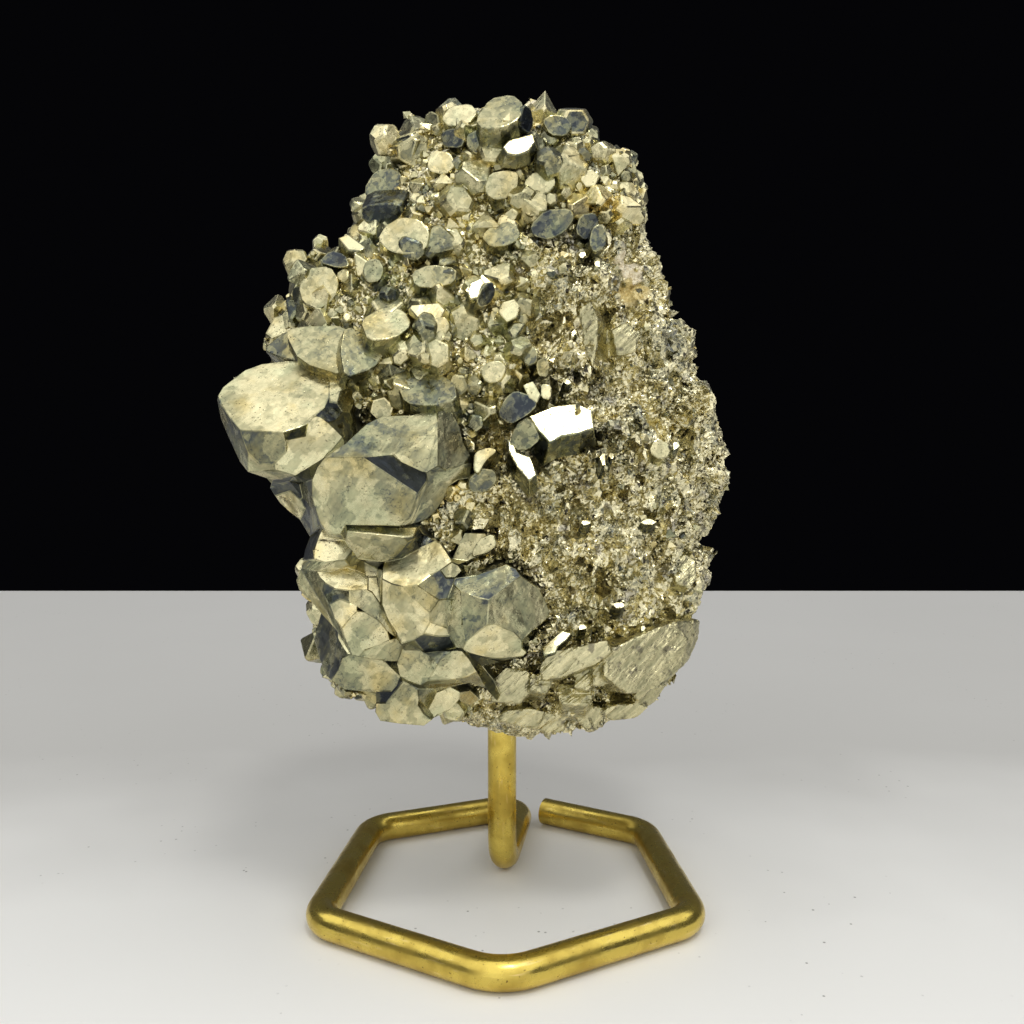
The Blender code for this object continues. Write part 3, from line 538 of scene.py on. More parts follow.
BLOCKS = (
    # The big block at the lower right: its broad front, its upper left, its right end and its foot.
    Facet(((606, 652), (630, 640), (655, 628), (676, 622), (690, 640), (680, 668), (655, 690), (628, 694),
           (604, 676)), 4, 20, 8, 0.66, 9, 0.1),
    Facet(((676, 622), (700, 620), (699, 640), (690, 660), (668, 684), (658, 690), (680, 660)),
          3, 55, -5, 0.52, 7, 0.1),
    Facet(((640, 690), (668, 684), (655, 704), (644, 708), (636, 700)), 2, 35, -20, 0.55, 7, 0.1),
    Facet(((608, 706), (632, 704), (650, 707), (636, 719), (610, 721), (602, 714)),
          2, 10, -10, 0.72, 8, 0.1),
    # The slanting slab left of it.
    Facet(((538, 668), (548, 652), (578, 646), (606, 640), (612, 652), (596, 664), (560, 678), (543, 680)),
          3.5, -8, 15, 0.62, 8, 0.1),
    Facet(((573, 688), (576, 672), (582, 668), (592, 682), (588, 690)), 2.5, -10, 20, 0.8, 6, 0.1),
    Facet(((594, 686), (596, 662), (606, 658), (612, 676), (604, 686)), 3, 25, 0, 0.6, 6, 0.1),
    # The plates under it.
    Facet(((490, 702), (492, 680), (505, 668), (528, 670), (530, 690), (520, 704)), 2, -5, 10, 0.6, 6, 0.1),
    Facet(((530, 690), (531, 674), (548, 672), (552, 684), (546, 694)), 2.5, 5, 25, 0.55, 6, 0.1),
    Facet(((556, 690), (560, 683), (586, 686), (594, 696), (586, 706), (562, 704)),
          1.5, 0, 35, 0.8, 6, 0.1),
    Facet(((498, 722), (502, 712), (528, 708), (545, 712), (536, 730), (520, 727)),
          1.5, -5, -5, 0.72, 7, 0.1),
    Facet(((536, 730), (546, 712), (564, 718), (566, 732), (548, 734)), 1.5, 10, -10, 0.68, 7, 0.1),
    Facet(((570, 708), (584, 706), (592, 728), (586, 730), (578, 722)), 1.5, -15, 5, 0.78, 7, 0.1),
    Facet(((586, 706), (600, 706), (604, 716), (596, 732), (591, 728)), 1.5, 20, 0, 0.8, 7, 0.1),
    # The upright slabs beside the mirror faces, and the knob at the right edge.
    Facet(((578, 310), (590, 300), (598, 320), (596, 350), (592, 368), (583, 345)),
          1, -25, 10, 0.5, 5, 0.1),
    Facet(((612, 330), (628, 322), (640, 335), (636, 352), (618, 356)), 1, 10, 5, 0.7, 5, 0.1),
    Facet(((672, 562), (685, 553), (696, 560), (698, 577), (690, 588), (676, 582)),
          0.5, 15, 28, 0.95, 2, 0.1),
)

GROOVES = (
    Groove((528, 302), (562, 350), 1.3, 2.4),
    Groove((605, 318), (608, 366), 0.5, 1.4),
    Groove((652, 338), (664, 374), 0.8, 1.2),
    Groove((684, 390), (668, 430), 0.5, 1.0),
    Groove((690, 392), (688, 428), 0.5, 1.2),
    Groove((640, 424), (650, 434), 0.9, 1.6),
    Groove((618, 468), (628, 482), 0.9, 1.4),
    Groove((574, 506), (584, 522), 0.9, 1.2),
    Groove((605, 580), (607, 597), 0.9, 2.0),
    Groove((632, 693), (650, 700), 1.0, 2.4),
    Groove((700, 524), (712, 516), 0.8, 1.8),
    Groove((690, 578), (694, 590), 0.7, 1.4),
    Groove((604, 470), (612, 540), 0.6, 0.9),
    Groove((662, 540), (668, 600), 0.7, 1.0),
)

FLASHES = (
    Flash(603, 459, 3, 7),
    Flash(612, 456, 3, 4),
    Flash(585, 523, 6, 3),
    Flash(648, 522, 8, 4),
    Flash(567, 382, 4, 3),
    Flash(676, 446, 4, 4),
    Flash(618, 605, 7, 3),
    Flash(643, 628, 3, 3),
    Flash(583, 627, 6, 3),
    Flash(556, 617, 5, 2),
    Flash(582, 255, 4, 4),
    Flash(597, 261, 4, 6),
    Flash(472, 289, 6, 8),
    Flash(470, 180, 6, 5),
)
FLASH_AZIMUTH = 6.0
FLASH_HEIGHTS = (42.0, 60.0, 98.0)
FLASH_ELEVATIONS = (37.0, 32.0, 25.0)
FLASH_PROUD = 1.1
FLASH_FLARE = 0.35
FLASH_SIDES = 6

# From this tone on, a face is a mirror. The tones of its sides and of its worn edges are given: both are
# dark, painted shadow under the mirror face.
MIRROR = 0.95
MIRROR_SHADOW_TONES = (0.25, 0.35)

SAME_WAY = 0.9995
WEAR_PROFILE = 0.6

# Large whole numbers that stir cell numbers into noise.
MIXERS = (73856093, 19349663, 83492791, 2654435, 1274126177)
MOST_MIXED = 0xFFFFFF

QUARTZ = (
    Patch((16.5, -9.5, 84.0), 2.2),
    Patch((6.5, -4.0, 103.0), 3.4),
    Patch((13.0, -8.0, 31.0), 2.4),
    Patch((8.0, -8.0, 27.0), 2.0),
    Patch((-6.0, 14.0, 88.0), 4.0),
    Patch((10.0, 17.0, 60.0), 3.0),
)
RUST = (
    Patch((12.5, -5.0, 97.0), 2.6),
    Patch((-12.5, -5.0, 98.5), 2.4),
    Patch((-19.0, -8.0, 79.0), 2.0),
    Patch((16.5, -11.0, 80.8), 2.0),
    Patch((-14.0, -14.0, 69.0), 1.8),
    Patch((-2.0, 13.0, 91.0), 3.0),
    Patch((14.0, 15.0, 55.0), 2.5),
)


# ------------------------------------------------------------------------------------- geometry


def direction(azimuth: float, elevation: float) -> Vector:
    """Give the unit vector at an azimuth and an elevation in degrees."""
    turn, rise = math.radians(azimuth), math.radians(elevation)
    return Vector((math.sin(turn) * math.cos(rise), -math.cos(turn) * math.cos(rise), math.sin(rise)))


# The level sections of the lump: height, left, right, front and back. Each is a squared oval.
SECTIONS = (
    (22.5, 1.0, 14.0, -8.0, 8.0),
    (24.5, -9.0, 18.5, -11.0, 12.0),
    (28.5, -15.0, 22.5, -14.0, 15.0),
    (34.0, -18.5, 25.5, -16.5, 17.5),
    (42.0, -21.0, 27.0, -18.5, 19.0),
    (50.0, -22.5, 27.5, -19.0, 19.5),
    (57.0, -26.0, 30.0, -19.0, 19.5),
    (64.0, -28.0, 29.0, -18.5, 18.5),
    (72.0, -29.0, 26.0, -17.5, 17.0),
    (79.0, -28.0, 23.5, -15.5, 15.5),
    (84.0, -25.0, 21.0, -13.5, 14.0),
    (89.0, -19.5, 20.0, -12.0, 12.5),
    (94.0, -16.0, 18.5, -10.5, 11.0),
    (99.0, -12.5, 14.5, -9.0, 9.0),
    (102.5, -9.5, 10.5, -7.5, 6.5),
    (105.0, -5.0, 6.0, -5.5, 3.5),
)
SQUARENESS = 2.5
SIDES = tuple(tuple(row[side] for row in SECTIONS) for side in range(1, 5))
MEAN_FRONT = -15.0
FRONT_ROUNDS = 6


def lump_sides(height: float | np.ndarray) -> list:
    """Give where the left, right, front and back of the lump are at a height."""
    return [np.interp(height, [row[0] for row in SECTIONS], column) for column in SIDES]


def lump_front(x: float | np.ndarray, height: float | np.ndarray) -> float | np.ndarray:
    """Give how deep the lump's front is at a place across and up."""
    left, right, front, back = lump_sides(height)
    share = np.minimum(np.abs(x - (left + right) / 2) / ((right - left) / 2), 0.999)
    bulge = (1.0 - share**SQUARENESS) ** (1.0 / SQUARENESS)
    return (front + back) / 2 - bulge * (back - front) / 2


def on_front(across: float, down: float, proud: float) -> Vector:
    """Give the place that shows at a spot in the frame of SIGHT, proud of the lump's front."""
    depth = MEAN_FRONT
    for _ in range(FRONT_ROUNDS):
        found = SIGHT.place(across, down, depth)
        depth = lump_front(found.x, found.z) - proud
    return SIGHT.place(across, down, depth)


def flash_facet(flash: Flash, dice: random.Random) -> Facet:
    """Give the facet of a flash, with an uneven outline, which faces halfway from the eye to the lamp."""
    outline = []
    for number in range(FLASH_SIDES):
        turn = math.tau * (number + dice.uniform(-0.3, 0.3)) / FLASH_SIDES
        reach = dice.uniform(0.6, 1.1)
        across = flash.across + reach * flash.wide * math.cos(turn)
        outline.append((across, flash.down + reach * flash.high * math.sin(turn)))
    height = on_front(flash.across, flash.down, FLASH_PROUD).z
    elevation = float(np.interp(height, FLASH_HEIGHTS, FLASH_ELEVATIONS))
    return Facet(tuple(outline), FLASH_PROUD, FLASH_AZIMUTH, elevation, 1.0, flare=FLASH_FLARE)


def point_on_lump(height: float, angle: float) -> Vector:
    """Give the point on the lump's squared oval at a height, at an angle in radians from the right side."""
    left, right, front, back = lump_sides(height)
    across, deep = math.cos(angle), math.sin(angle)
    x = math.copysign(abs(across) ** (2.0 / SQUARENESS), across)
    y = math.copysign(abs(deep) ** (2.0 / SQUARENESS), deep)
    return Vector(((left + right + x * (right - left)) / 2, (front + back + y * (back - front)) / 2, height))


def octahedron_planes(size: float, turn: Matrix, cut: float) -> list[Plane]:
    """Give the planes of a turned octahedron whose corners are cut.

    Args:
        size: Half the thickness between two faces.
        turn: How the octahedron is turned.
        cut: Distance of the planes that cut the corners, as a share of the size.

    Returns:
        Each plane as its normal and its distance from the centre.
    """
    ways = [(x, y, z) for x in (-1, 1) for y in (-1, 1) for z in (-1, 1)]
    planes = [(turn @ Vector(way).normalized(), size) for way in ways]
    for axis in range(3):
        for side in (-1, 1):
            corner = Vector((0, 0, 0))
            corner[axis] = side
            planes.append((turn @ corner, size * cut))
    return planes


def pentagon_planes(size: float, turn: Matrix) -> list[Plane]:
    """Give the planes of the turned twelve-faced form that pyrite also grows in."""
    planes = []
    for long in (-2, 2):
        for short in (-1, 1):
            for way in ((long, short, 0), (0, long, short), (short, 0, long)):
                planes.append((turn @ Vector(way).normalized(), size))
    return planes


def any_turn(dice: random.Random) -> Matrix:
    """Give a rotation that may point any way."""
    axis = Vector([dice.gauss(0, 1) for _ in range(3)]).normalized()
    return Matrix.Rotation(dice.uniform(0, math.tau), 3, axis)


def put(name: str, data: bpy.types.ID) -> bpy.types.Object:
    """Make an object of some data and put it in the scene."""
    made = bpy.data.objects.new(name, data)
    bpy.context.scene.collection.objects.link(made)
    return made


def baked(thing: bpy.types.Object, name: str) -> bpy.types.Object:
    """Turn an object and its modifiers into a new plain mesh object, and remove the old one."""
    bpy.context.view_layer.update()
    graph = bpy.context.evaluated_depsgraph_get()
    mesh = bpy.data.meshes.new_from_object(thing.evaluated_get(graph), depsgraph=graph)
    bpy.data.objects.remove(thing)
    mesh.name = name
    return put(name, mesh)


def regrained(thing: bpy.types.Object, name: str, grain: float) -> bpy.types.Object:
    """Turn an object into a new one whose faces are small and even, of a size in millimetres."""
    remesh = thing.modifiers.new("grain", "REMESH")
    remesh.mode = "VOXEL"
    remesh.voxel_size = grain * MM
    return baked(thing, name)


def per_point(mesh: bpy.types.Mesh, kind: str) -> np.ndarray:
    """Give the place ("co") or the normal of each point of a mesh, one in each row."""
    values = np.empty(len(mesh.vertices) * 3)
    mesh.vertices.foreach_get(kind, values)
    return values.reshape(-1, 3)


def store(mesh: bpy.types.Mesh, name: str, values: np.ndarray) -> None:
    """Store a number on each point of a mesh."""
    layer = mesh.attributes.new(name, "FLOAT", "POINT")
    layer.data.foreach_set("value", values.astype(np.float32))


def wear(block: bmesh.types.BMesh, lines: list, width: float, rounding: int) -> list:
    """Wear edges of a mesh round, with as many facets as the rounding, and give the new faces."""
    made = bmesh.ops.bevel(
        block,
        geom=lines,
        offset=width,
        segments=rounding,
        profile=WEAR_PROFILE,
        affect="EDGES",
        clamp_overlap=True,
    )
    return made["faces"]


@dataclass
class FaceTones:
    """The tones of one crystal's faces: named ones, a spread for other flat ones, and the worn edges, which
    are lighter partly from wear and partly as a painted highlight.
    """

    named: list[tuple[Vector, float]]
    other: float
    spread: float
    worn: float
    flat: list[Vector]
    dice: random.Random

    def of(self, normal: Vector) -> float:
        """Give the tone of the face that faces a way."""
        for way, tone in self.named:
            if normal.dot(way) > SAME_WAY:
                return tone
        if any(normal.dot(way) > SAME_WAY for way in self.flat):
            return self.other + self.dice.uniform(-self.spread, self.spread)
        return self.worn


class Heap:
    """A mesh that closed shells are added to, with a tone on each face."""

    def __init__(self, rounding: int = 2) -> None:
        """Start with nothing in it. Worn edges get as many facets as the rounding."""
        self.rounding = rounding
        self.block = bmesh.new()
        self.block.faces.layers.float.new("tone")
        self.block.faces.layers.float_vector.new("facing")

    def shell(self, planes: list[Plane], centre: Vector, edge: float, tones: FaceTones) -> None:
        """Add a convex solid cut from a cube by planes, with worn edges.

        Args:
            planes: Each plane as its normal and its distance from the centre.
            centre: The centre, in millimetres from the stem's foot.
            edge: Width of the worn edges.
            tones: What tone each face has.
        """
        block = bmesh.new()
        bmesh.ops.create_cube(block, size=4.0 * max(distance for _, distance in planes))
        for normal, distance in planes:
            everything = block.verts[:] + block.edges[:] + block.faces[:]
            cut = bmesh.ops.bisect_plane(
                block, geom=everything, plane_co=normal * distance, plane_no=normal, clear_outer=True
            )
            rim = [item for item in cut["geom_cut"] if isinstance(item, bmesh.types.BMEdge)]
            if rim:
                bmesh.ops.contextual_create(block, geom=rim)
        bmesh.ops.recalc_face_normals(block, faces=block.faces)
        self.finished(block, edge, tones)
        bmesh.ops.translate(block, vec=centre, verts=block.verts)
        self.take(block)

    def facet(self, facet: Facet, edge: float, corner: float, dice: random.Random) -> None:
        """Add a crystal known by its facet, with worn edges.

        Args:
            facet: The crystal.
            edge: Width of its worn edges.
            corner: How far its corners are cut, as a share of its sides.
            dice: What its side faces' tones are drawn from.
        """
        block = facet.shell(corner)
        flat = [face.normal.copy() for face in block.faces]
        # Worn edges sit between the face and its sides in tone, lighter than the sides partly from wear and
        # partly as a painted highlight.
        side, worn = 0.3 + 0.2 * facet.tone, 0.25 + 0.55 * facet.tone
        # A mirror face's sides and worn edges get dark tones that are painted shadow.
        if facet.tone > MIRROR:
            side, worn = MIRROR_SHADOW_TONES
        named = [(direction(facet.azimuth, facet.elevation), facet.tone)]
        self.finished(block, edge, FaceTones(named, side, 0.1, worn, flat, dice))
        self.take(block)

    def finished(self, block: bmesh.types.BMesh, edge: float, tones: FaceTones) -> None:
        """Wear the edges of a shell, and give each face its tone."""
        if edge:
            wear(block, block.edges[:], edge, self.rounding)
        tone = block.faces.layers.float.new("tone")
        for face in block.faces:
            face.normal_update()
            face[tone] = tones.of(face.normal)

    def take(self, block: bmesh.types.BMesh) -> None:
        """Add everything in another mesh, which is freed."""
        carrier = bpy.data.meshes.new("carrier")
        block.to_mesh(carrier)
        block.free()
        self.block.from_mesh(carrier)
        bpy.data.meshes.remove(carrier)

    def finish(self, name: str, material: bpy.types.Material) -> bpy.types.Object:
        """Make the heap a piece with a finish, at the origin and in metres, in the part's own frame."""
        bmesh.ops.translate(self.block, vec=STEM_FOOT, verts=self.block.verts)
        bmesh.ops.scale(self.block, vec=(MM, MM, MM), verts=self.block.verts)
        mesh = bpy.data.meshes.new(name)
        self.block.to_mesh(mesh)
        self.block.free()
        mesh.materials.append(material)
        mesh.shade_smooth()
        given = [item.vector.copy() for item in mesh.attributes["facing"].data]
        mesh.attributes.remove(mesh.attributes["facing"])
        normals = []
        for way, face in zip(given, mesh.polygons):
            normals += [tuple(way if way.length > 0.5 else face.normal)] * face.loop_total
        mesh.normals_split_custom_set(normals)
        return put(name, mesh)


def cell_noise(keys: np.ndarray, seed: int) -> np.ndarray:
    """Give a number from 0 to 1 for each row of three whole numbers, from one of many such fields."""
    mixed = seed * MIXERS[3]
    for axis in range(3):
        mixed = mixed ^ (keys[..., axis] * MIXERS[axis])
    mixed = (mixed ^ (mixed >> 13)) * MIXERS[4]
    mixed = (mixed ^ (mixed >> 16)) & MOST_MIXED
    return mixed / float(MOST_MIXED)


def broken_facets(points: np.ndarray, size: float, seed: int) -> np.ndarray:
    """Give a relief of flat facets that tilt at random, as broken granular pyrite has.

    Args:
        points: Places in millimetres, one in each row.
        size: Size of a facet.
        seed: Which of many such reliefs to use.

    Returns:
        The height at each place, from about -1 to 1.
    """
    scaled = points / size
    home = np.floor(scaled).astype(np.int64)
    nearest = np.full(len(points), 1e9)
    height = np.zeros(len(points))
    for x in (-1, 0, 1):
        for y in (-1, 0, 1):
            for z in (-1, 0, 1):
                cell = home + (x, y, z)
                middle = cell + np.stack([cell_noise(cell, seed + turn) for turn in range(3)], axis=1)
                away = scaled - middle
                far = (away**2).sum(axis=1)
                tilt = np.stack([cell_noise(cell, seed + 10 + turn) for turn in range(3)], axis=1) * 2 - 1
                lifted = (tilt * away).sum(axis=1) + cell_noise(cell, seed + 20) - 0.5
                closer = far < nearest
                nearest = np.where(closer, far, nearest)
                height = np.where(closer, lifted, height)
    return height


# --------------------------------------------------------------------------------------- finishes

Socket = bpy.types.NodeSocket
Source = Socket | float | tuple


class NodeWriter:
    """A node tree in the making, with short ways to add nodes and join them."""

    def __init__(self, tree: bpy.types.NodeTree) -> None:
        """Write into a tree."""
        self.tree = tree

    def add(self, kind: str, sources: dict | None = None, **settings: object) -> bpy.types.Node:
        """Add a node of a kind, with its settings and with what feeds its sockets."""
        node = self.tree.nodes.new(kind)
        for name, value in settings.items():
            setattr(node, name, value)
        for socket, source in (sources or {}).items():
            self.feed(node.inputs[socket], source)
        return node

    def feed(self, socket: Socket, source: Source) -> None:
        """Join a socket to another, or give it a constant."""
        if isinstance(source, Socket):
            self.tree.links.new(source, socket)
        else:
            socket.default_value = source

    def maths(self, operation: str, first: Source, second: Source = 0.0) -> Socket:
        """Work out one number from two."""
        return self.add("ShaderNodeMath", {0: first, 1: second}, operation=operation).outputs[0]

    def scaled(self, source: Socket, amount: Source) -> Socket:
        """Give a vector times a number."""
        return self.add("ShaderNodeVectorMath", {0: source, "Scale": amount}, operation="SCALE").outputs[0]


class Recipe(NodeWriter):
    """A material in the making."""

    def __init__(self, name: str) -> None:
        """Start a material that has one shader."""
        self.material = bpy.data.materials.new(name)
        self.material.use_nodes = True
        super().__init__(self.material.node_tree)
        self.shader = self.tree.nodes["Principled BSDF"]

    def surface(self, **inputs: Source) -> bpy.types.Material:
        """Feed the shader's sockets, named with underscores for spaces, and give the material."""
        for name, source in inputs.items():
            self.feed(self.shader.inputs[name.replace("_", " ")], source)
        return self.material

    def place(self) -> Socket:
        """Give the place on the object, in millimetres."""
        return self.scaled(self.add("ShaderNodeTexCoord").outputs["Object"], 1.0 / MM)

    def attribute(self, name: str) -> Socket:
        """Give a number stored on the mesh."""
        return self.add("ShaderNodeAttribute", attribute_name=name).outputs["Fac"]

    def clouds(self, place: Socket, size: float, detail: float = 3.0) -> Socket:
        """Give soft noise from 0 to 1, with lumps of a size in millimetres and some finer layers."""
        sources = {"Vector": place, "Scale": 1.0 / size, "Detail": detail}
        return self.add("ShaderNodeTexNoise", sources).outputs[0]

    def wander(self, place: Socket, size: float) -> Socket:
        """Give a vector that wanders over the surface."""
        return self.add("ShaderNodeTexNoise", {"Vector": place, "Scale": 1.0 / size}).outputs["Color"]

    def streaks(self, place: Socket, slant: float) -> Socket:
        """Give soft noise drawn out along a slant, in degrees from level."""
        sources = {"Vector": place, "Rotation": (0.0, -math.radians(slant), 0.0), "Scale": STREAK_SIZE}
        return self.clouds(self.add("ShaderNodeMapping", sources, vector_type="TEXTURE").outputs[0], 1.0, 5.0)

    def cells(self, place: Socket, size: float) -> bpy.types.Node:
        """Give a node of random cells of a size."""
        return self.add("ShaderNodeTexVoronoi", {"Vector": place, "Scale": 1.0 / size})

    def vector(self, operation: str, first: Source, second: Source) -> Socket:
        """Work out one vector from two."""
        return self.add("ShaderNodeVectorMath", {0: first, 1: second}, operation=operation).outputs[0]

    def lean(self, cells: bpy.types.Node) -> Socket:
        """Give a way to lean that differs from cell to cell."""
        return self.vector("SUBTRACT", cells.outputs["Color"], (0.5, 0.5, 0.5))

    def between(self, source: Source, low: float, high: float, to_low: float = 0.0, to_high: float = 1.0):
        """Give a number brought from one range to another, and held inside it."""
        sources = dict(enumerate((source, low, high, to_low, to_high)))
        return self.add("ShaderNodeMapRange", sources).outputs[0]

    def shifted(self, number: Source, source: Source, low: float, high: float, down: float, up: float):
        """Give a number plus another that is brought from one range to another."""
        return self.maths("ADD", number, self.between(source, low, high, down, up))

    def ramp(self, source: Source, stops: tuple[tuple[float, tuple], ...]) -> Socket:
        """Give a colour for a number, from stops that are each a number and the colour there."""
        node = self.add("ShaderNodeValToRGB", {0: source})
        band = node.color_ramp
        while len(band.elements) < len(stops):
            band.elements.new(0.5)
        for element, (where, colour) in zip(band.elements, stops):
            element.position = where
            element.color = (*colour, 1.0)
        return node.outputs[0]

    def mix(self, share: Source, first: Source, second: Source, mode: str = "MIX") -> Socket:
        """Mix two colours, with a share of the second."""
        first, second = ((*one, 1.0) if isinstance(one, tuple) else one for one in (first, second))
        sources = {0: share, 6: first, 7: second}
        return self.add("ShaderNodeMix", sources, data_type="RGBA", blend_type=mode).outputs[2]

    def bump(self, height: Source, depth: float, normal: Socket | None = None):
        """Give the normal of a surface with a relief of a depth in millimetres, added to a normal."""
        sources = {"Distance": depth * MM, "Height": height}
        if normal is not None:
            sources["Normal"] = normal
        return self.add("ShaderNodeBump", sources).outputs[0]


class GeometryTree(NodeWriter):
    """A geometry node tree with named inputs, which makes a new piece from an object."""

    def __init__(self, name: str, **sockets: str) -> None:
        """Start a tree that takes a geometry, a finish and the named inputs, each of a kind."""
        super().__init__(bpy.data.node_groups.new(name, "GeometryNodeTree"))
        self.names = {}
        for key, kind in {"geometry": "Geometry", "finish": "Material", **sockets}.items():
            made = self.tree.interface.new_socket(key, in_out="INPUT", socket_type=f"NodeSocket{kind}")
            self.names[key] = made.identifier
        self.tree.interface.new_socket("geometry", in_out="OUTPUT", socket_type="NodeSocketGeometry")
        self.given = self.add("NodeGroupInput").outputs
        self.result = self.add("NodeGroupOutput")

    def end(self, shape: Socket) -> None:
        """End the tree with a shape, realized and in its finish."""
        real = self.add("GeometryNodeRealizeInstances", {0: shape})
        sources = {"Geometry": real.outputs[0], "Material": self.given["finish"]}
        self.feed(self.result.inputs[0], self.add("GeometryNodeSetMaterial", sources).outputs[0])

    def run(self, thing: bpy.types.Object, name: str, **inputs: object) -> bpy.types.Object:
        """Run the tree on an object with its inputs, and give the piece that it makes."""
        modifier = thing.modifiers.new(name, "NODES")
        modifier.node_group = self.tree
        for key, value in inputs.items():
            modifier[self.names[key]] = value
        return baked(thing, name)


# What streaks on broken and grown faces measure along, through and across them.
STREAK_SIZE = (6.0, 1.1, 0.6)
TONES = (
    (0.0, (0.045, 0.052, 0.06)),
    (0.15, (0.10, 0.11, 0.10)),
    (0.3, (0.20, 0.20, 0.125)),
    (0.5, (0.37, 0.35, 0.20)),
    (0.75, (0.58, 0.53, 0.31)),
    (1.0, (0.82, 0.74, 0.44)),
)


@dataclass(frozen=True)
class CrystalFinish:
    """Grown faces of pyrite: metal with tarnish in blotches, small pits and shallow growth steps."""

    name: str
    blotch: float
    mottle: float
    pits: float
    roughness: float
    wave: float

    def make(self) -> bpy.types.Material:
        """Make the material."""
        recipe = Recipe(self.name)
        place = recipe.place()
        fine = recipe.clouds(place, 0.5, 4.0)
        broad = recipe.clouds(place, self.blotch, 6.0)
        blotches = recipe.between(broad, 0.485, 0.525)
        streaks = recipe.streaks(place, 50.0)
        tone = recipe.attribute("tone")
        tone = recipe.shifted(tone, blotches, 0, 1, -self.mottle, self.mottle)
        tone = recipe.shifted(tone, recipe.clouds(place, 5.0, 1.0), 0.35, 0.65, -0.1, 0.1)
        tone = recipe.shifted(tone, streaks, 0.35, 0.65, -0.07, 0.07)
        tone = recipe.shifted(tone, fine, 0.3, 0.7, -0.06, 0.06)
        veins = recipe.maths("ABSOLUTE", recipe.maths("SUBTRACT", recipe.clouds(place, 1.9, 5.0), 0.5))
        tone = recipe.shifted(tone, veins, 0.0, 0.012, -0.22, 0.0)
        colour = recipe.ramp(tone, TONES)
        film = recipe.clouds(recipe.vector("ADD", place, (40.0, 0.0, 0.0)), 4.0, 3.0)
        warm, cool = recipe.between(film, 0.52, 0.68, 0.0, 0.6), recipe.between(film, 0.48, 0.34, 0.0, 0.6)
        colour = recipe.mix(warm, colour, (0.97, 0.84, 0.56), "MULTIPLY")
        colour = recipe.mix(cool, colour, (0.86, 0.97, 1.0), "MULTIPLY")
        dots = recipe.cells(place, 0.42)
        near = recipe.between(dots.outputs["Distance"], 0.14, 0.24, 1.0, 0.0)
        where = recipe.between(recipe.clouds(place, 1.7, 2.0), 0.5, 0.6)
        pits = recipe.maths("MULTIPLY", recipe.maths("MULTIPLY", near, where), self.pits)
        colour = recipe.mix(pits, colour, (0.05, 0.045, 0.035))
        rough = recipe.between(blotches, 0, 1, self.roughness + 0.12, self.roughness)
        rough = recipe.shifted(rough, fine, 0.3, 0.7, 0.0, 0.1)
        normal = recipe.bump(recipe.clouds(place, 2.2, 1.0), self.wave)
        normal = recipe.bump(streaks, 0.05, normal)
        normal = recipe.bump(fine, 0.025, normal)
        normal = recipe.bump(recipe.maths("SUBTRACT", 1.0, pits), 0.08, normal)
        return recipe.surface(Base_Color=colour, Metallic=1.0, Roughness=rough, Normal=normal)


@dataclass(frozen=True)
class GranularFinish:
    """Broken massive pyrite: countless grains that each face their own way, with quartz and rust patches."""

    name: str
    slab: float = 2.1
    coarse: float = 0.55
    fine: float = 0.22
    slab_tilt: float = 0.55
    tilt: float = 0.8

    def make(self) -> bpy.types.Material:
        """Make the material."""
        recipe = Recipe(self.name)
        place = recipe.place()
        warped = recipe.vector("ADD", place, recipe.scaled(recipe.wander(place, 0.625), 0.5))
        coarse = recipe.cells(warped, self.coarse)
        fine = recipe.cells(warped, self.fine)
        slabs = recipe.cells(warped, self.slab)
        calm = recipe.between(recipe.clouds(place, 4.2, 3.0), 0.38, 0.56, 0.15, 1.0)
        tilt = recipe.maths("MULTIPLY", calm, self.tilt)
        normal = recipe.add("ShaderNodeNewGeometry").outputs["Normal"]
        normal = recipe.vector("ADD", normal, recipe.scaled(recipe.lean(slabs), self.slab_tilt))
        normal = recipe.vector("ADD", normal, recipe.scaled(recipe.lean(coarse), tilt))
        normal = recipe.vector("ADD", normal, recipe.scaled(recipe.lean(fine), tilt))
        normal = recipe.add("ShaderNodeVectorMath", {0: normal}, operation="NORMALIZE").outputs[0]

        split = recipe.add("ShaderNodeSeparateColor", {0: fine.outputs["Color"]})
        patchy = recipe.clouds(place, 4.0, 3.0)
        tone = recipe.between(split.outputs[0], 0.0, 1.0, 0.5, 1.25)
        tone = recipe.shifted(tone, patchy, 0.32, 0.68, -0.35, 0.35)
        tone = recipe.shifted(tone, recipe.clouds(place, 9.0, 1.0), 0.35, 0.65, -0.1, 0.15)
        broad = recipe.add("ShaderNodeSeparateColor", {0: slabs.outputs["Color"]})
        tone = recipe.shifted(tone, broad.outputs[1], 0.0, 1.0, -0.15, 0.2)
        colour = recipe.mix(0.15, recipe.ramp(tone, TONES), (0.5, 0.5, 0.47))
        violet = recipe.between(recipe.clouds(place, 3.1, 4.0), 0.58, 0.66, 0.0, 0.5)
        colour = recipe.mix(violet, colour, (0.16, 0.15, 0.17))
        holes = recipe.between(recipe.clouds(place, 0.8, 3.0), 0.62, 0.68)
        colour = recipe.mix(holes, colour, (0.05, 0.045, 0.035))

        rock = recipe.between(recipe.shifted(recipe.attribute("quartz"), patchy, 0, 1, -0.3, 0.3), 0.35, 0.6)
        rust = recipe.between(recipe.shifted(recipe.attribute("rust"), patchy, 0, 1, -0.3, 0.3), 0.35, 0.7)
        white = recipe.ramp(split.outputs[1], ((0.0, (0.60, 0.50, 0.32)), (1.0, (0.92, 0.85, 0.64))))
        orange = recipe.ramp(split.outputs[1], ((0.0, (0.48, 0.36, 0.12)), (1.0, (0.80, 0.67, 0.32))))
        colour = recipe.mix(rock, colour, white)
        colour = recipe.mix(rust, colour, orange)
        stone = recipe.maths("MAXIMUM", rock, rust)
        metal = recipe.maths("SUBTRACT", 1.0, stone)
        rough = recipe.between(split.outputs[2], 0.0, 1.0, 0.14, 0.42)
        rough = recipe.maths("MAXIMUM", rough, recipe.maths("MULTIPLY", stone, 0.6))
        return recipe.surface(Base_Color=colour, Metallic=metal, Roughness=rough, Normal=normal)

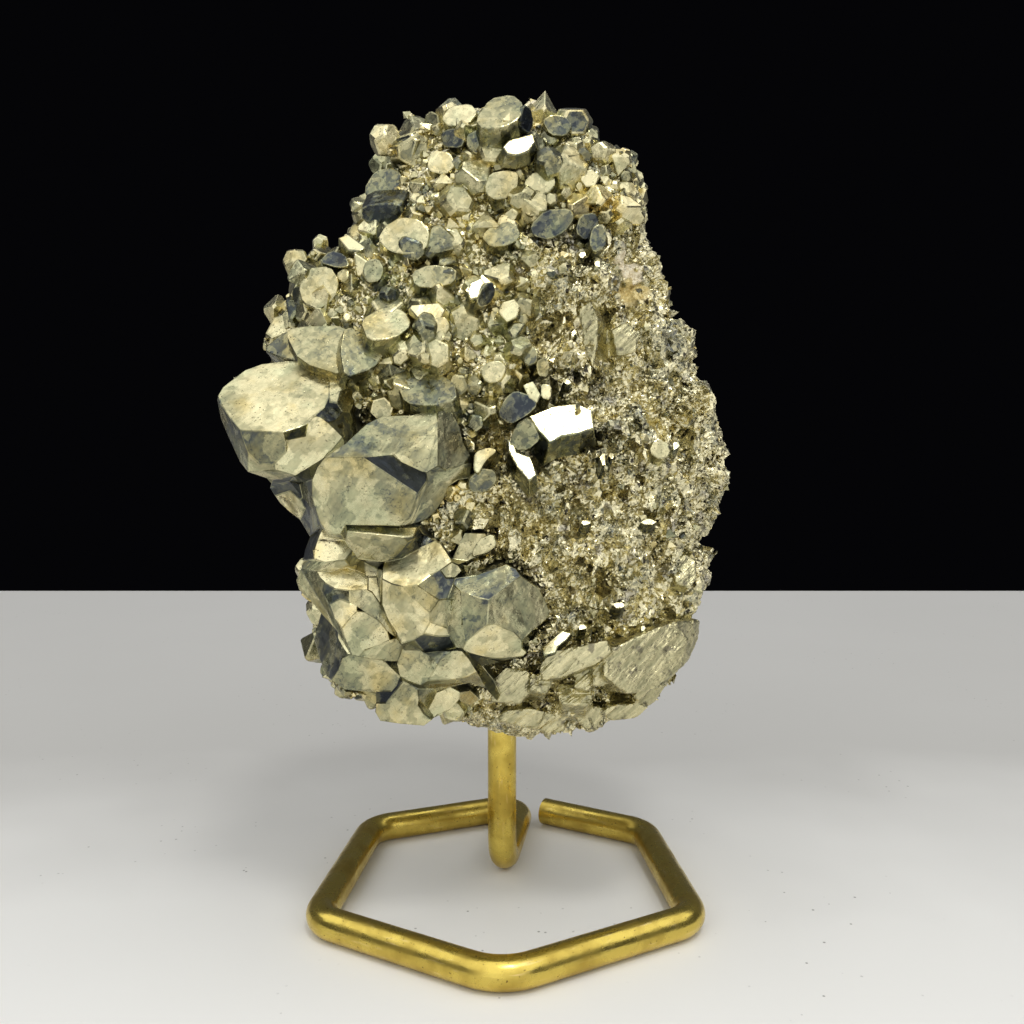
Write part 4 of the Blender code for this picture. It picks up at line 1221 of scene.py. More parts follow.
@dataclass(frozen=True)
class StreakedFinish:
    """Broken faces of massive pyrite with long shallow streaks, dull cream."""

    name: str

    def make(self) -> bpy.types.Material:
        """Make the material."""
        recipe = Recipe(self.name)
        place = recipe.place()
        streaks = recipe.streaks(place, 40.0)
        fine = recipe.clouds(place, 0.45, 3.0)
        tone = recipe.attribute("tone")
        tone = recipe.shifted(tone, streaks, 0.3, 0.7, -0.2, 0.18)
        tone = recipe.shifted(tone, fine, 0.3, 0.7, -0.08, 0.08)
        colour = recipe.ramp(tone, TONES)
        dirt = recipe.between(recipe.clouds(place, 1.4, 4.0), 0.58, 0.66, 0.0, 0.7)
        colour = recipe.mix(dirt, colour, (0.10, 0.09, 0.07))
        rough = recipe.between(streaks, 0.3, 0.7, 0.34, 0.2)
        normal = recipe.bump(streaks, 0.3)
        normal = recipe.bump(fine, 0.05, normal)
        return recipe.surface(Base_Color=colour, Metallic=1.0, Roughness=rough, Normal=normal)


@dataclass(frozen=True)
class BrassFinish:
    """Drawn brass wire: golden, with brown tarnish in patches, fine scratches along it and specks."""

    name: str
    bright: tuple[float, float, float] = (0.70, 0.535, 0.115)
    dull: tuple[float, float, float] = (0.50, 0.36, 0.07)

    def make(self) -> bpy.types.Material:
        """Make the material."""
        recipe = Recipe(self.name)
        place = recipe.place()
        along = recipe.maths("MULTIPLY", recipe.attribute("along"), 0.12)
        around = recipe.maths("MULTIPLY", recipe.attribute("around"), 9.0)
        wire = recipe.add("ShaderNodeCombineXYZ", {0: along, 1: around})
        scratches = recipe.clouds(wire.outputs[0], 0.4, 5.0)
        tarnish = recipe.clouds(place, 3.5, 5.0)
        specks = recipe.between(recipe.clouds(place, 0.35, 2.0), 0.68, 0.74)
        colour = recipe.mix(recipe.between(tarnish, 0.42, 0.66), self.bright, self.dull)
        colour = recipe.mix(recipe.between(scratches, 0.6, 0.75, 0.0, 0.5), colour, (0.92, 0.74, 0.36))
        colour = recipe.mix(specks, colour, (0.16, 0.10, 0.03))
        rough = recipe.between(tarnish, 0.35, 0.7, 0.2, 0.42)
        rough = recipe.shifted(rough, specks, 0, 1, 0.0, 0.25)
        normal = recipe.bump(scratches, 0.03)
        normal = recipe.bump(recipe.clouds(place, 1.5, 2.0), 0.03, normal)
        return recipe.surface(Base_Color=colour, Metallic=1.0, Roughness=rough, Normal=normal)


@dataclass(frozen=True)
class TableFinish:
    """A plain pale table top with a faint cloudiness and a little mineral dust.

    Its colour is painted light and shade, by shares of its depth: brightest at the front, darkest about a
    third of the way back, and a little lighter again at the back.
    """

    name: str
    painted_light_falloff: tuple = (
        (0.0, (0.88, 0.87, 0.83)),
        (0.12, (0.84, 0.83, 0.79)),
        (0.35, (0.56, 0.55, 0.52)),
        (1.0, (0.66, 0.65, 0.62)),
    )

    def make(self) -> bpy.types.Material:
        """Make the material."""
        recipe = Recipe(self.name)
        place = recipe.place()
        split = recipe.add("ShaderNodeSeparateXYZ", {0: place})
        depth = recipe.shifted(split.outputs[1], recipe.clouds(place, 55.0, 3.0), 0.3, 0.7, -12, 12)
        # Painted light: the table's colour falls off from the bright front towards the back.
        colour = recipe.ramp(recipe.between(depth, -40.0, 240.0), self.painted_light_falloff)
        dust = recipe.cells(place, 2.4)
        near = recipe.between(dust.outputs["Distance"], 0.05, 0.09, 1.0, 0.0)
        share = recipe.between(recipe.clouds(place, 30.0, 2.0), 0.5, 0.62)
        colour = recipe.mix(recipe.maths("MULTIPLY", near, share), colour, (0.30, 0.29, 0.26))
        return recipe.surface(Base_Color=colour, Roughness=0.55)


# ------------------------------------------------------------------------------------ the cluster


@dataclass(frozen=True)
class SolidPlanes:
    """The planes of one crystal as arrays, to find which places are near it."""

    centre: np.ndarray
    normals: np.ndarray
    distances: np.ndarray

    @classmethod
    def of(cls, planes: list[Plane], centre: tuple[float, float, float]) -> "SolidPlanes":
        """Take the planes of a crystal."""
        normals = np.array([tuple(normal) for normal, _ in planes])
        return cls(np.array(centre, float), normals, np.array([distance for _, distance in planes]))

    def depth(self, points: np.ndarray) -> np.ndarray:
        """Give how far each place is outside the crystal, or below 0 inside it."""
        return ((points - self.centre) @ self.normals.T - self.distances).max(axis=1)


def named_planes(crystal: NamedCrystal) -> list[Plane]:
    """Give all the planes of a medium crystal, the one that it points first."""
    facing = direction(crystal.azimuth, crystal.elevation)
    turn = Vector((1, 1, 1)).rotation_difference(facing).to_matrix()
    turn = Matrix.Rotation(math.radians(crystal.roll), 3, facing) @ turn
    return octahedron_planes(crystal.size, turn, crystal.cut)


@dataclass
class LargeCrystals:
    """The large crystals at the left and the row at the foot: one net of facets, closed behind.

    Its outer edges run back to a flat back, which is narrower and lower than the front.
    """

    edge: float = 0.1
    back: float = -6.0
    back_width: float = 0.8
    back_left: float = 1.5
    back_height: float = 0.9
    back_rise: float = 5.0
    side_tone: float = 0.3
    # The worn edges' tone is partly wear and partly a painted highlight.
    wear_and_highlight_tone: float = 0.5
    rounding: int = 2

    def build(self, finish: CrystalFinish) -> bpy.types.Object:
        """Build the crystals as one piece."""
        heap = Heap()
        heap.take(self.shell())
        return heap.finish("large_crystals", finish.make())

    def shell(self) -> bmesh.types.BMesh:
        """Build the net and its back as one closed shell."""
        block = bmesh.new()
        tone = block.faces.layers.float.new("tone")
        facing = block.faces.layers.float_vector.new("facing")
        points = {name: block.verts.new(SIGHT.place(*spot)) for name, spot in CORNERS.items()}
        for names, shade, *way in NET:
            face = block.faces.new([points[name] for name in names.split()])
            face[tone] = shade
            face[facing] = direction(*way[0]) if way else (0, 0, 0)
        front = block.faces[:]
        grown = bmesh.ops.extrude_face_region(block, geom=front, use_keep_orig=True)["geom"]
        front = set(front)
        for item in grown:
            if isinstance(item, bmesh.types.BMVert):
                across = self.back_width * item.co.x - self.back_left
                item.co = Vector((across, self.back, self.back_height * item.co.z + self.back_rise))
        self.colour(set(block.faces) - front, tone, facing, self.side_tone)
        bmesh.ops.recalc_face_normals(block, faces=block.faces)
        for face in front:
            if face.normal.y > 0:
                face.normal_flip()
        loose = [point for point in block.verts if not point.link_faces]
        bmesh.ops.delete(block, geom=loose, context="VERTS")
        shared = [line for line in block.edges if any(face in front for face in line.link_faces)]
        self.colour(wear(block, shared, self.edge, self.rounding), tone, facing, self.wear_and_highlight_tone)
        return block

    def colour(self, faces: list, tone: object, facing: object, shade: float) -> None:
        """Give faces a tone, lit the way they face."""
        for face in faces:
            face[facing] = (0, 0, 0)
            face[tone] = shade


@dataclass
class MediumCrystals:
    """The crystals of middle size: those with a place of their own, and those strewn over the crust."""

    edge_share: float = 0.11
    facet_edge: float = 0.16
    facet_corner: float = 0.2
    seed: int = 11
    strewn_seed: int = 7
    strewn_skip: int = 680
    strewn_count: int = 56
    strewn_heights: tuple[float, float] = (56.0, 102.0)
    strewn_sizes: tuple[float, float] = (1.5, 2.6)
    strewn_cut: float = 1.3
    strewn_tones: tuple[float, float] = (0.3, 0.8)
    # Worn-edge tones of the strewn and named crystals: partly wear, partly a painted highlight.
    strewn_wear_and_highlight: float = 0.65
    named_wear_and_highlight: float = 0.75
    tone_spread: float = 0.2
    uneven: tuple[float, float] = (0.9, 1.02)
    bare_from: float = 3.0
    bare_under: float = 80.0

    def strewn(self) -> list[tuple[list[Plane], Vector]]:
        """Give the planes and the centre of each strewn crystal, where the solid has them."""
        dice = random.Random(self.strewn_seed)
        for _ in range(self.strewn_skip):
            dice.random()
        made = []
        for number in range(self.strewn_count):
            height = dice.uniform(*self.strewn_heights)
            angle = dice.uniform(-205, -70) if number % 3 else dice.uniform(90, 180)
            planes = octahedron_planes(dice.uniform(*self.strewn_sizes), any_turn(dice), self.strewn_cut)
            made.append((planes, point_on_lump(height, math.radians(angle))))
        return made

    def bare(self, centre: Vector) -> bool:
        """Give whether a strewn crystal would stand on the bare massive side."""
        return centre.y < 0 and centre.x > self.bare_from and centre.z < self.bare_under

    def solids(self, shown: bool) -> list[SolidPlanes]:
        """Give the solid's crystals that are shown here, or else those that other pieces stand for."""
        named = [(named_planes(one), one.at) for one in NAMED_CRYSTALS if (one.tone is not None) == shown]
        strewn = [(planes, tuple(centre)) for planes, centre in self.strewn() if self.bare(centre) != shown]
        return [SolidPlanes.of(planes, centre) for planes, centre in named + strewn]

    def build(self, finish: CrystalFinish) -> bpy.types.Object:
        """Build the crystals as one piece."""
        heap = Heap()
        dice = random.Random(self.seed)
        for crystal in NAMED_CRYSTALS:
            if crystal.tone is None:
                continue
            planes = named_planes(crystal)
            planes = [(normal, distance * dice.uniform(*self.uneven)) for normal, distance in planes]
            flat = [normal for normal, _ in planes]
            named = [(direction(crystal.azimuth, crystal.elevation), crystal.tone)]
            tones = FaceTones(named, 0.35 + 0.3 * crystal.tone, self.tone_spread, self.named_wear_and_highlight, flat, dice)
            heap.shell(planes, Vector(crystal.at), self.edge_share * crystal.size, tones)
        for planes, centre in self.strewn():
            if self.bare(centre):
                continue
            flat = [normal for normal, _ in planes]
            other = dice.uniform(*self.strewn_tones)
            tones = FaceTones([], other, self.tone_spread, self.strewn_wear_and_highlight, flat, dice)
            heap.shell(planes, centre, self.edge_share * planes[0][1], tones)
        for facet in FACETS:
            heap.facet(facet, self.facet_edge, self.facet_corner if facet.tone < MIRROR else 0.0, dice)
        for flash in FLASHES:
            heap.facet(flash_facet(flash, dice), 0.0, 0.0, dice)
        return heap.finish("medium_crystals", finish.make())


@dataclass
class MassiveLump:
    """The lump that carries the crystals: the solid's own shape, made fine and granular.

    The druse's front and back edges run through heights that are given for places across.
    """

    seed: int = 4
    grain: float = 0.49
    weld: float = 0.002
    slab_facet: float = 5.5
    slab_depth: float = 1.3
    coarse_facet: float = 2.6
    coarse_depth: float = 0.45
    fine_facet: float = 1.1
    fine_depth: float = 0.18
    roughness: float = 0.07
    sideways: float = 0.18
    ridge_width: float = 4.5
    ridge_length: float = 2.2
    ridge_depth: float = 1.9
    ridge_sharpness: float = 2.5
    hole_rim: float = 3.5
    hole_calm: float = 3.0
    most_relief: float = 0.5
    under_skin: float = 0.1
    crystal_reach: float = 0.35
    under_crystals: float = 0.55
    under_hidden: float = 2.3
    under_front: float = 0.2
    netted_left: tuple[float, float] = (-20.0, -13.0)
    netted_right: tuple[float, float] = (-6.0, -15.5)
    netted_back: float = -8.0
    netted_margin: float = 2.0
    netted_inset: float = 1.0
    clean_shoulder: tuple[float, float, float] = (-29.0, -4.0, 75.0)
    druse_top: float = 105.5
    front_edge: tuple = ((-8, 0, 3, 5, 15, 19, 22), (54, 61, 72, 83, 87, 92, 130))
    back_edge: tuple = ((-16, 0, 10, 18), (62, 72, 84, 130))
    left_edge: float = 52.0
    ragged: float = 5.0
    grains_from: float = 26.0

    def build(
        self, finish: GranularFinish, crystals: list[SolidPlanes], hidden: list[SolidPlanes]
    ) -> bpy.types.Object:
        """Build the lump.

        Args:
            finish: What it looks like.
            crystals: The crystals that stand out of it, which it stays under.
            hidden: The solid's crystals that others stand for, which it sinks far under.

        Returns:
            The piece.
        """
        made = self.fine_copy()
        mesh = made.data
        place = per_point(mesh, "co") / MM - np.array(STEM_FOOT)
        dice = np.random.default_rng(self.seed)
        covered, under = self.cover(place, crystals), self.cover(place, hidden)
        druse = self.druse_share(place) * (1 - covered)
        massive = 1.0 - druse
        calm = np.clip((np.hypot(place[:, 0], place[:, 1]) - self.hole_rim) / self.hole_calm, 0.0, 1.0)
        relief = self.relief(place, massive, dice) * ((0.35 + 0.65 * massive) * calm)
        relief = np.minimum(relief, self.most_relief) - self.under_skin - self.under_crystals * covered
        level = lump_front(place[:, 0], place[:, 2]) + self.under_front - relief
        sunk = (under > 0.0) & (place[:, 1] < 0)
        relief -= np.where(sunk, 0.0, self.under_hidden * under)
        sideways = dice.normal(0, self.grain * self.sideways, place.shape)
        moved = place + per_point(mesh, "normal") * relief[:, None] + sideways * calm[:, None]

        # Hidden crystals on the front are pressed flat, and what lies behind the net stays well behind it.
        netted = self.netted(place)
        left, right = lump_sides(place[:, 2])[:2]
        behind = np.interp(place[:, 0], *zip(self.netted_left, self.netted_right))
        moved[:, 1] = np.where(sunk, np.maximum(moved[:, 1], level), moved[:, 1])
        moved[:, 0] = np.where(sunk, np.clip(moved[:, 0], left, right), moved[:, 0])
        moved[:, 1] = np.where(netted, np.maximum(moved[:, 1], behind), moved[:, 1])
        moved[:, 0] = np.where(netted, np.maximum(moved[:, 0], left + self.netted_inset), moved[:, 0])

        shoulder = np.all(place < np.array(self.clean_shoulder), axis=1)
        store(mesh, "druse", druse * (1 - netted) * ~shoulder)
        store(mesh, "massive", massive * (1 - covered) * (1 - netted) * (place[:, 2] > self.grains_from))
        store(mesh, "quartz", self.patch_share(place, QUARTZ))
        store(mesh, "rust", self.patch_share(place, RUST))
        mesh.vertices.foreach_set("co", ((moved + np.array(STEM_FOOT)) * MM).ravel())
        mesh.update()
        mesh.materials.clear()
        mesh.materials.append(finish.make())
        mesh.shade_flat()
        return made

    def fine_copy(self) -> bpy.types.Object:
        """Copy the solid with small even faces."""
        block = bmesh.new()
        block.from_mesh(frame["nodes"][CLUSTER].data)
        bmesh.ops.remove_doubles(block, verts=block.verts, dist=self.weld * MM)
        mesh = bpy.data.meshes.new("rough_lump")
        block.to_mesh(mesh)
        block.free()
        return regrained(put("rough_lump", mesh), "massive_pyrite", self.grain)

    def relief(self, place: np.ndarray, massive: np.ndarray, dice: np.random.Generator) -> np.ndarray:
        """Give how far broken facets, ridges, grooves and grain lift each place, by how massive it is."""
        height = self.slab_depth * broken_facets(place, self.slab_facet, 13) * massive
        height += self.coarse_depth * broken_facets(place, self.coarse_facet, 5)
        height += self.fine_depth * broken_facets(place, self.fine_facet, 9)
        height -= self.groove_depth(place)
        height -= self.ridge_depth * self.ridges(place) * massive
        return height + self.roughness * dice.uniform(-1, 1, len(place))

    def netted(self, place: np.ndarray) -> np.ndarray:
        """Give whether each place shows behind the facets of the large crystals, or near enough to them."""
        ahead = np.flatnonzero(place[:, 1] < self.netted_back)
        across, down = SIGHT.seen(place[ahead])
        inside = np.zeros(len(ahead), bool)
        for names, *_ in NET:
            outline = [CORNERS[name] for name in names.split()]
            for aside, lower in ((0, 0), (1, 0), (-1, 0), (0, 1), (0, -1)):
                x, y = across + aside * self.netted_margin, down + lower * self.netted_margin
                crossed = np.zeros(len(ahead), bool)
                for (x1, y1, _), (x2, y2, _) in zip(outline, outline[1:] + outline[:1]):
                    if y1 != y2:
                        crossed ^= ((y1 > y) != (y2 > y)) & (x < x1 + (y - y1) * (x2 - x1) / (y2 - y1))
                inside |= crossed
        result = np.zeros(len(place), bool)
        result[ahead[inside]] = True
        return result

    def cover(self, place: np.ndarray, crystals: list[SolidPlanes]) -> np.ndarray:
        """Give how far each place is covered by crystals."""
        near = np.min([crystal.depth(place) for crystal in crystals], axis=0)
        return np.clip((self.crystal_reach - near) / self.crystal_reach, 0.0, 1.0)

    def ridges(self, place: np.ndarray) -> np.ndarray:
        """Give long upright hollows with sharp ridges between them."""
        wide, high = self.ridge_width, self.ridge_width * self.ridge_length
        field = [noise.fractal(Vector((x / wide, y / wide, z / high)), 1.0, 2.0, 3) for x, y, z in place]
        return 1.0 - np.clip(np.abs(np.array(field)) * self.ridge_sharpness, 0.0, 1.0)

    def druse_share(self, place: np.ndarray) -> np.ndarray:
        """Give where the crust of small crystals is: the upper left, the left side and the upper back."""
        x, y, z = place.T
        edge = np.where(y < 2, np.interp(x, *self.front_edge), np.interp(x, *self.back_edge))
        edge = np.where((x < -14) & (y < 12), self.left_edge, edge)
        ragged = np.array([noise.noise(Vector(spot) / self.ragged) for spot in place]) * self.ragged
        upper = np.clip((z - edge + ragged) / 1.5, 0.0, 1.0)
        between = np.clip((-x - 2.5) / 2.0, 0.0, 1.0) * (y < 0) * (z > 27)
        return np.maximum(upper, 0.8 * between) * np.clip((self.druse_top - z) / 4.0, 0.0, 1.0)

    def groove_depth(self, place: np.ndarray) -> np.ndarray:
        """Give how deep each place lies in a groove."""
        deepest = np.zeros(len(place))
        for groove in GROOVES:
            start, end = np.array(on_front(*groove.start, 0.0)), np.array(on_front(*groove.end, 0.0))
            run = end - start
            along = np.clip(((place - start) @ run) / (run @ run), 0.0, 1.0)
            away = np.linalg.norm(place - start - along[:, None] * run, axis=1)
            deepest = np.maximum(deepest, groove.depth * np.exp(-((away / groove.width) ** 2)))
        return deepest

    def patch_share(self, place: np.ndarray, patches: tuple[Patch, ...]) -> np.ndarray:
        """Give how far each place is inside any of the patches."""
        shares = [
            np.clip(1.5 - np.linalg.norm(place - np.array(patch.at), axis=1) / patch.reach, 0.0, 1.0)
            for patch in patches
        ]
        return np.max(shares, axis=0)

class Scattering(GeometryTree):
    """A node tree that grows copies of a few small shapes out of a surface, each turned its own way."""

    def __init__(self, mask: str) -> None:
        """Build the tree. The mask is the number on the surface that says where the copies grow."""
        super().__init__(
            f"{mask}_growth",
            shapes="Collection",
            spacing="Float",
            smallest="Float",
            largest="Float",
            sink="Float",
            seed="Int",
        )
        given = self.given
        where = self.add("GeometryNodeInputNamedAttribute", {"Name": mask}, data_type="FLOAT")
        sources = {
            "Mesh": given["geometry"],
            "Distance Min": given["spacing"],
            "Density Factor": where.outputs["Attribute"],
            "Density Max": MOST_DENSE,
            "Seed": given["seed"],
        }
        points = self.add("GeometryNodeDistributePointsOnFaces", sources, distribute_method="POISSON")

        size = self.size_field()
        sunk = self.maths("MULTIPLY", self.maths("MULTIPLY", size, given["sink"]), -MM)
        back = self.scaled(points.outputs["Normal"], sunk)
        settled = self.add("GeometryNodeSetPosition", {"Geometry": points.outputs["Points"], "Offset": back})
        shapes = self.add(
            "GeometryNodeCollectionInfo",
            {"Collection": given["shapes"], "Separate Children": True, "Reset Children": True},
        )
        sources = {
            "Points": settled.outputs[0],
            "Instance": shapes.outputs[0],
            "Pick Instance": True,
            "Instance Index": self.random("INT", 0, SHAPES_IN_A_SET - 1, 21),
            "Rotation": self.random("FLOAT_VECTOR", (0, 0, 0), (math.tau,) * 3, 22),
            "Scale": self.scaled(self.random("FLOAT_VECTOR", *COPY_STRETCH, 23), size),
        }
        copies = self.add("GeometryNodeInstanceOnPoints", sources)
        tone = self.random("FLOAT", *COPY_TONES, 24)
        sources = {"Geometry": copies.outputs[0], "Name": "tone", "Value": tone}
        self.end(self.add("GeometryNodeStoreNamedAttribute", sources, domain="INSTANCE").outputs[0])

    def random(self, kind: str, low: object, high: object, seed: int) -> Socket:
        """Give a random value of a kind for each copy, with a seed that says which of many such values."""
        number = ("FLOAT_VECTOR", "FLOAT", "INT").index(kind)
        sources = {2 * number: low, 2 * number + 1: high, "Seed": seed}
        return self.add("FunctionNodeRandomValue", sources, data_type=kind).outputs[number]

    def size_field(self) -> Socket:
        """Give each copy's size, with more small ones than large ones."""
        chance = self.maths("POWER", self.random("FLOAT", 0.0, 1.0, 20), MOSTLY_SMALL)
        sources = {"Value": chance, "To Min": self.given["smallest"], "To Max": self.given["largest"]}
        return self.add("ShaderNodeMapRange", sources).outputs[0]


class ShapeKind(Enum):
    """What small shapes are strewn."""

    CRYSTALS = "crystals"
    SEEDS = "seeds"
    CHIPS = "chips"


@dataclass
class ShapeSet:
    """A few small shapes, one millimetre from middle to face, for copying."""

    kind: ShapeKind
    seed: int = 2
    edge: float = 0.13

    def build(self) -> bpy.types.Collection:
        """Build the shapes in a collection of their own."""
        made = bpy.data.collections.new(self.kind.value)
        bpy.context.scene.collection.children.link(made)
        dice = random.Random(self.seed)
        edge = self.edge if self.kind is ShapeKind.CRYSTALS else 0.0
        for number in range(SHAPES_IN_A_SET):
            heap = Heap(rounding=1)
            tones = FaceTones([], 0.0, 0.0, 0.0, [], dice)
            heap.shell(self.planes(number, dice), Vector((0, 0, 0)), edge, tones)
            layers = heap.block.faces.layers
            layers.float.remove(layers.float["tone"])
            layers.float_vector.remove(layers.float_vector["facing"])
            mesh = bpy.data.meshes.new(f"{self.kind.value}_{number}")
            bmesh.ops.scale(heap.block, vec=(MM, MM, MM), verts=heap.block.verts)
            heap.block.to_mesh(mesh)
            heap.block.free()
            made.objects.link(bpy.data.objects.new(mesh.name, mesh))
        return made

    def planes(self, number: int, dice: random.Random) -> list[Plane]:
        """Give the planes of a shape: a broken chip, an uneven octahedron or a twelve-faced form."""
        if self.kind is ShapeKind.CHIPS:
            planes = [(any_turn(dice) @ Vector((0, 0, 1)), dice.uniform(0.6, 1.0)) for _ in range(4)]
            return planes + octahedron_planes(1.1, any_turn(dice), 9.0)
        if number % 3:
            planes = octahedron_planes(1.0, Matrix.Identity(3), dice.uniform(1.1, 1.45))
            return [(normal, distance * dice.uniform(0.85, 1.15)) for normal, distance in planes]
        return pentagon_planes(1.0, Matrix.Identity(3))


@dataclass(frozen=True)
class Growth:
    """One piece of the crust: where it grows, of what shapes, how dense, and the range of its sizes.

    Spacing and sizes are in millimetres. The sink is a share of each copy's size.
    """

    name: str
    mask: str
    kind: ShapeKind
    spacing: float
    smallest: float
    largest: float
    sink: float
    seed: int

    def build(self, lump: bpy.types.Object, finish: bpy.types.Material) -> bpy.types.Object:
        """Grow the copies on the lump and make them one plain mesh."""
        shapes = ShapeSet(self.kind).build()
        made = Scattering(self.mask).run(
            put("carrier", lump.data.copy()),
            self.name,
            finish=finish,
            shapes=shapes,
            spacing=self.spacing * MM,
            smallest=self.smallest,
            largest=self.largest,
            sink=self.sink,
            seed=self.seed,
        )
        for layer in ("druse", "quartz", "rust"):
            made.data.attributes.remove(made.data.attributes[layer])
        for thing in list(shapes.objects):
            bpy.data.objects.remove(thing)
        bpy.data.collections.remove(shapes)
        return made


# The crust of small crystals, and the loose-looking grains of the massive sides.
CRUST = (
    Growth("druse_crystals", "druse", ShapeKind.CRYSTALS, 2.0, 0.5, 1.9, 0.15, 3),
    Growth("druse_seeds", "druse", ShapeKind.SEEDS, 1.05, 0.22, 0.55, 0.0, 8),
    Growth("massive_grains", "massive", ShapeKind.CHIPS, 2.0, 0.12, 0.4, 0.2, 5),
)
MOST_DENSE = 2.0e7
MOSTLY_SMALL = 2.2
SHAPES_IN_A_SET = 8
COPY_TONES = (0.28, 1.0)
COPY_STRETCH = ((0.8, 0.8, 0.8), (1.2, 1.2, 1.2))


@dataclass
class BrokenBlocks:
    """Blocks of massive pyrite at the lower right, with long streaks on their broken faces."""

    edge: float = 0.12
    grain: float = 0.28
    tone: float = 0.68
    streak_slant: float = 40.0
    streak_size: tuple[float, float, float] = (7.0, 1.6, 1.1)
    streak_depth: float = 0.12
    chip_facet: float = 2.6
    chip_depth: float = 0.06
    seed: int = 5

    def build(self, finish: StreakedFinish) -> bpy.types.Object:
        """Build the blocks as one piece."""
        dice = random.Random(self.seed)
        heap = Heap()
        for block in BLOCKS:
            heap.facet(block, self.edge, 0.0, dice)
        material = finish.make()
        made = regrained(heap.finish("broken_blocks", material), "broken_blocks", self.grain)
        self.streak(made.data)
        made.data.materials.clear()
        made.data.materials.append(material)
        return made

    def streak(self, mesh: bpy.types.Mesh) -> None:
        """Press long streaks and broken facets into a mesh, and give it its tone."""
        place = per_point(mesh, "co") / MM
        slant = Matrix.Rotation(math.radians(self.streak_slant), 3, "Y")
        streaks = []
        for spot in place:
            turned = slant @ Vector(spot)
            drawn = Vector([way / size for way, size in zip(turned, self.streak_size)])
            streaks.append(noise.fractal(drawn, 0.8, 2.0, 4))
        relief = self.streak_depth * np.array(streaks)
        relief += self.chip_depth * broken_facets(place, self.chip_facet, 31)
        moved = place + per_point(mesh, "normal") * relief[:, None]
        mesh.vertices.foreach_set("co", (moved * MM).ravel())
        store(mesh, "tone", np.full(len(place), self.tone))
        mesh.update()


# -------------------------------------------------------------------------------------- the stand


@dataclass
class WireStand:
    """The stand, bent from one brass wire. Its corners are where its centre line would turn if sharp."""

    radius: float = 2.0
    sides: int = 40
    bend_step: float = 5.0
    free_end: tuple[float, float] = (6.6, 19.4)
    hexagon: tuple = ((21.6, 10.8), (24.4, -16.2), (0.2, -29.9), (-23.2, -16.4), (-20.1, 12.2))
    hexagon_bends: tuple = (5.0, 4.5, 7.0, 4.5, 5.0)
    back_corner: tuple[float, float] = (3.2, 21.6)
    back_bend: float = 3.0
    stem_bend: float = 4.0
    stem_top: float = 34.0
    end_rounding: float = 0.5
    end_widths: tuple[float, float] = (0.72, 0.93)
    dent_at: tuple[float, float, float] = (-0.3, -2.0, 9.6)
    dent_reach: float = 1.2
    dent_depth: float = 0.3

    def route(self) -> list[Vector]:
        """Give the points of the wire's centre line, in millimetres from the stem's foot."""
        level = (self.free_end, *self.hexagon, self.back_corner, (0, 0))
        corners = [Vector((*point, self.radius)) for point in level] + [Vector((0, 0, self.stem_top))]
        radii = (*self.hexagon_bends, self.back_bend, self.stem_bend)
        start = (corners[1] - corners[0]).normalized()
        route = [corners[0], corners[0] + start * 0.4 * self.end_rounding]
        route.append(corners[0] + start * self.end_rounding)
        for before, corner, after, radius in zip(corners, corners[1:], corners[2:], radii):
            arrive, leave = (corner - before).normalized(), (after - corner).normalized()
            bend = arrive.angle(leave)
            axis = arrive.cross(leave).normalized()
            first = corner - arrive * radius * math.tan(bend / 2)
            centre = first + axis.cross(arrive) * radius
            steps = max(2, math.ceil(math.degrees(bend) / self.bend_step))
            for step in range(steps + 1):
                route.append(centre + Matrix.Rotation(bend * step / steps, 3, axis) @ (first - centre))
        route.append(corners[-1])
        return route

    def tree(self) -> GeometryTree:
        """Build the node tree that draws a round wire along a curve."""
        tree = GeometryTree("wire", radius="Float", sides="Int")
        given = tree.given
        sources = {"Radius": given["radius"], "Resolution": given["sides"]}
        circle = tree.add("GeometryNodeCurvePrimitiveCircle", sources)
        run = tree.add("GeometryNodeSplineParameter").outputs
        length = tree.maths("MULTIPLY", run["Length"], 1.0 / MM)
        sources = {"Geometry": given["geometry"], "Name": "along", "Value": length}
        along = tree.add("GeometryNodeStoreNamedAttribute", sources)
        sources = {"Geometry": circle.outputs[0], "Name": "around", "Value": run["Factor"]}
        around = tree.add("GeometryNodeStoreNamedAttribute", sources)
        sources = {"Curve": along.outputs[0], "Profile Curve": around.outputs[0], "Fill Caps": True}
        tree.end(tree.add("GeometryNodeCurveToMesh", sources).outputs[0])
        return tree

    def build(self, finish: BrassFinish) -> bpy.types.Object:
        """Build the stand."""
        route = self.route()
        curve = bpy.data.curves.new("wire_line", "CURVE")
        curve.dimensions = "3D"
        spline = curve.splines.new("POLY")
        spline.points.add(len(route) - 1)
        widths = dict(enumerate(self.end_widths))
        for number, (point, place) in enumerate(zip(spline.points, route)):
            point.co = (*((place + STEM_FOOT) * MM), 1.0)
            point.radius = widths.get(number, 1.0)
        line, material = put("wire_line", curve), finish.make()
        made = self.tree().run(line, "brass_wire", radius=self.radius * MM, sides=self.sides, finish=material)
        for polygon in made.data.polygons:
            polygon.use_smooth = len(polygon.vertices) == 4
        self.dent(made.data)
        return made

    def dent(self, mesh: bpy.types.Mesh) -> None:
        """Press the small dent into the front of the stem."""
        middle = (Vector(self.dent_at) + STEM_FOOT) * MM
        for vertex in mesh.vertices:
            near = (vertex.co - middle).length / (self.dent_reach * MM)
            if near < 1.0:
                vertex.co.y += self.dent_depth * MM * (1.0 - near) ** 2


# ------------------------------------------------------------------------------------- the studio


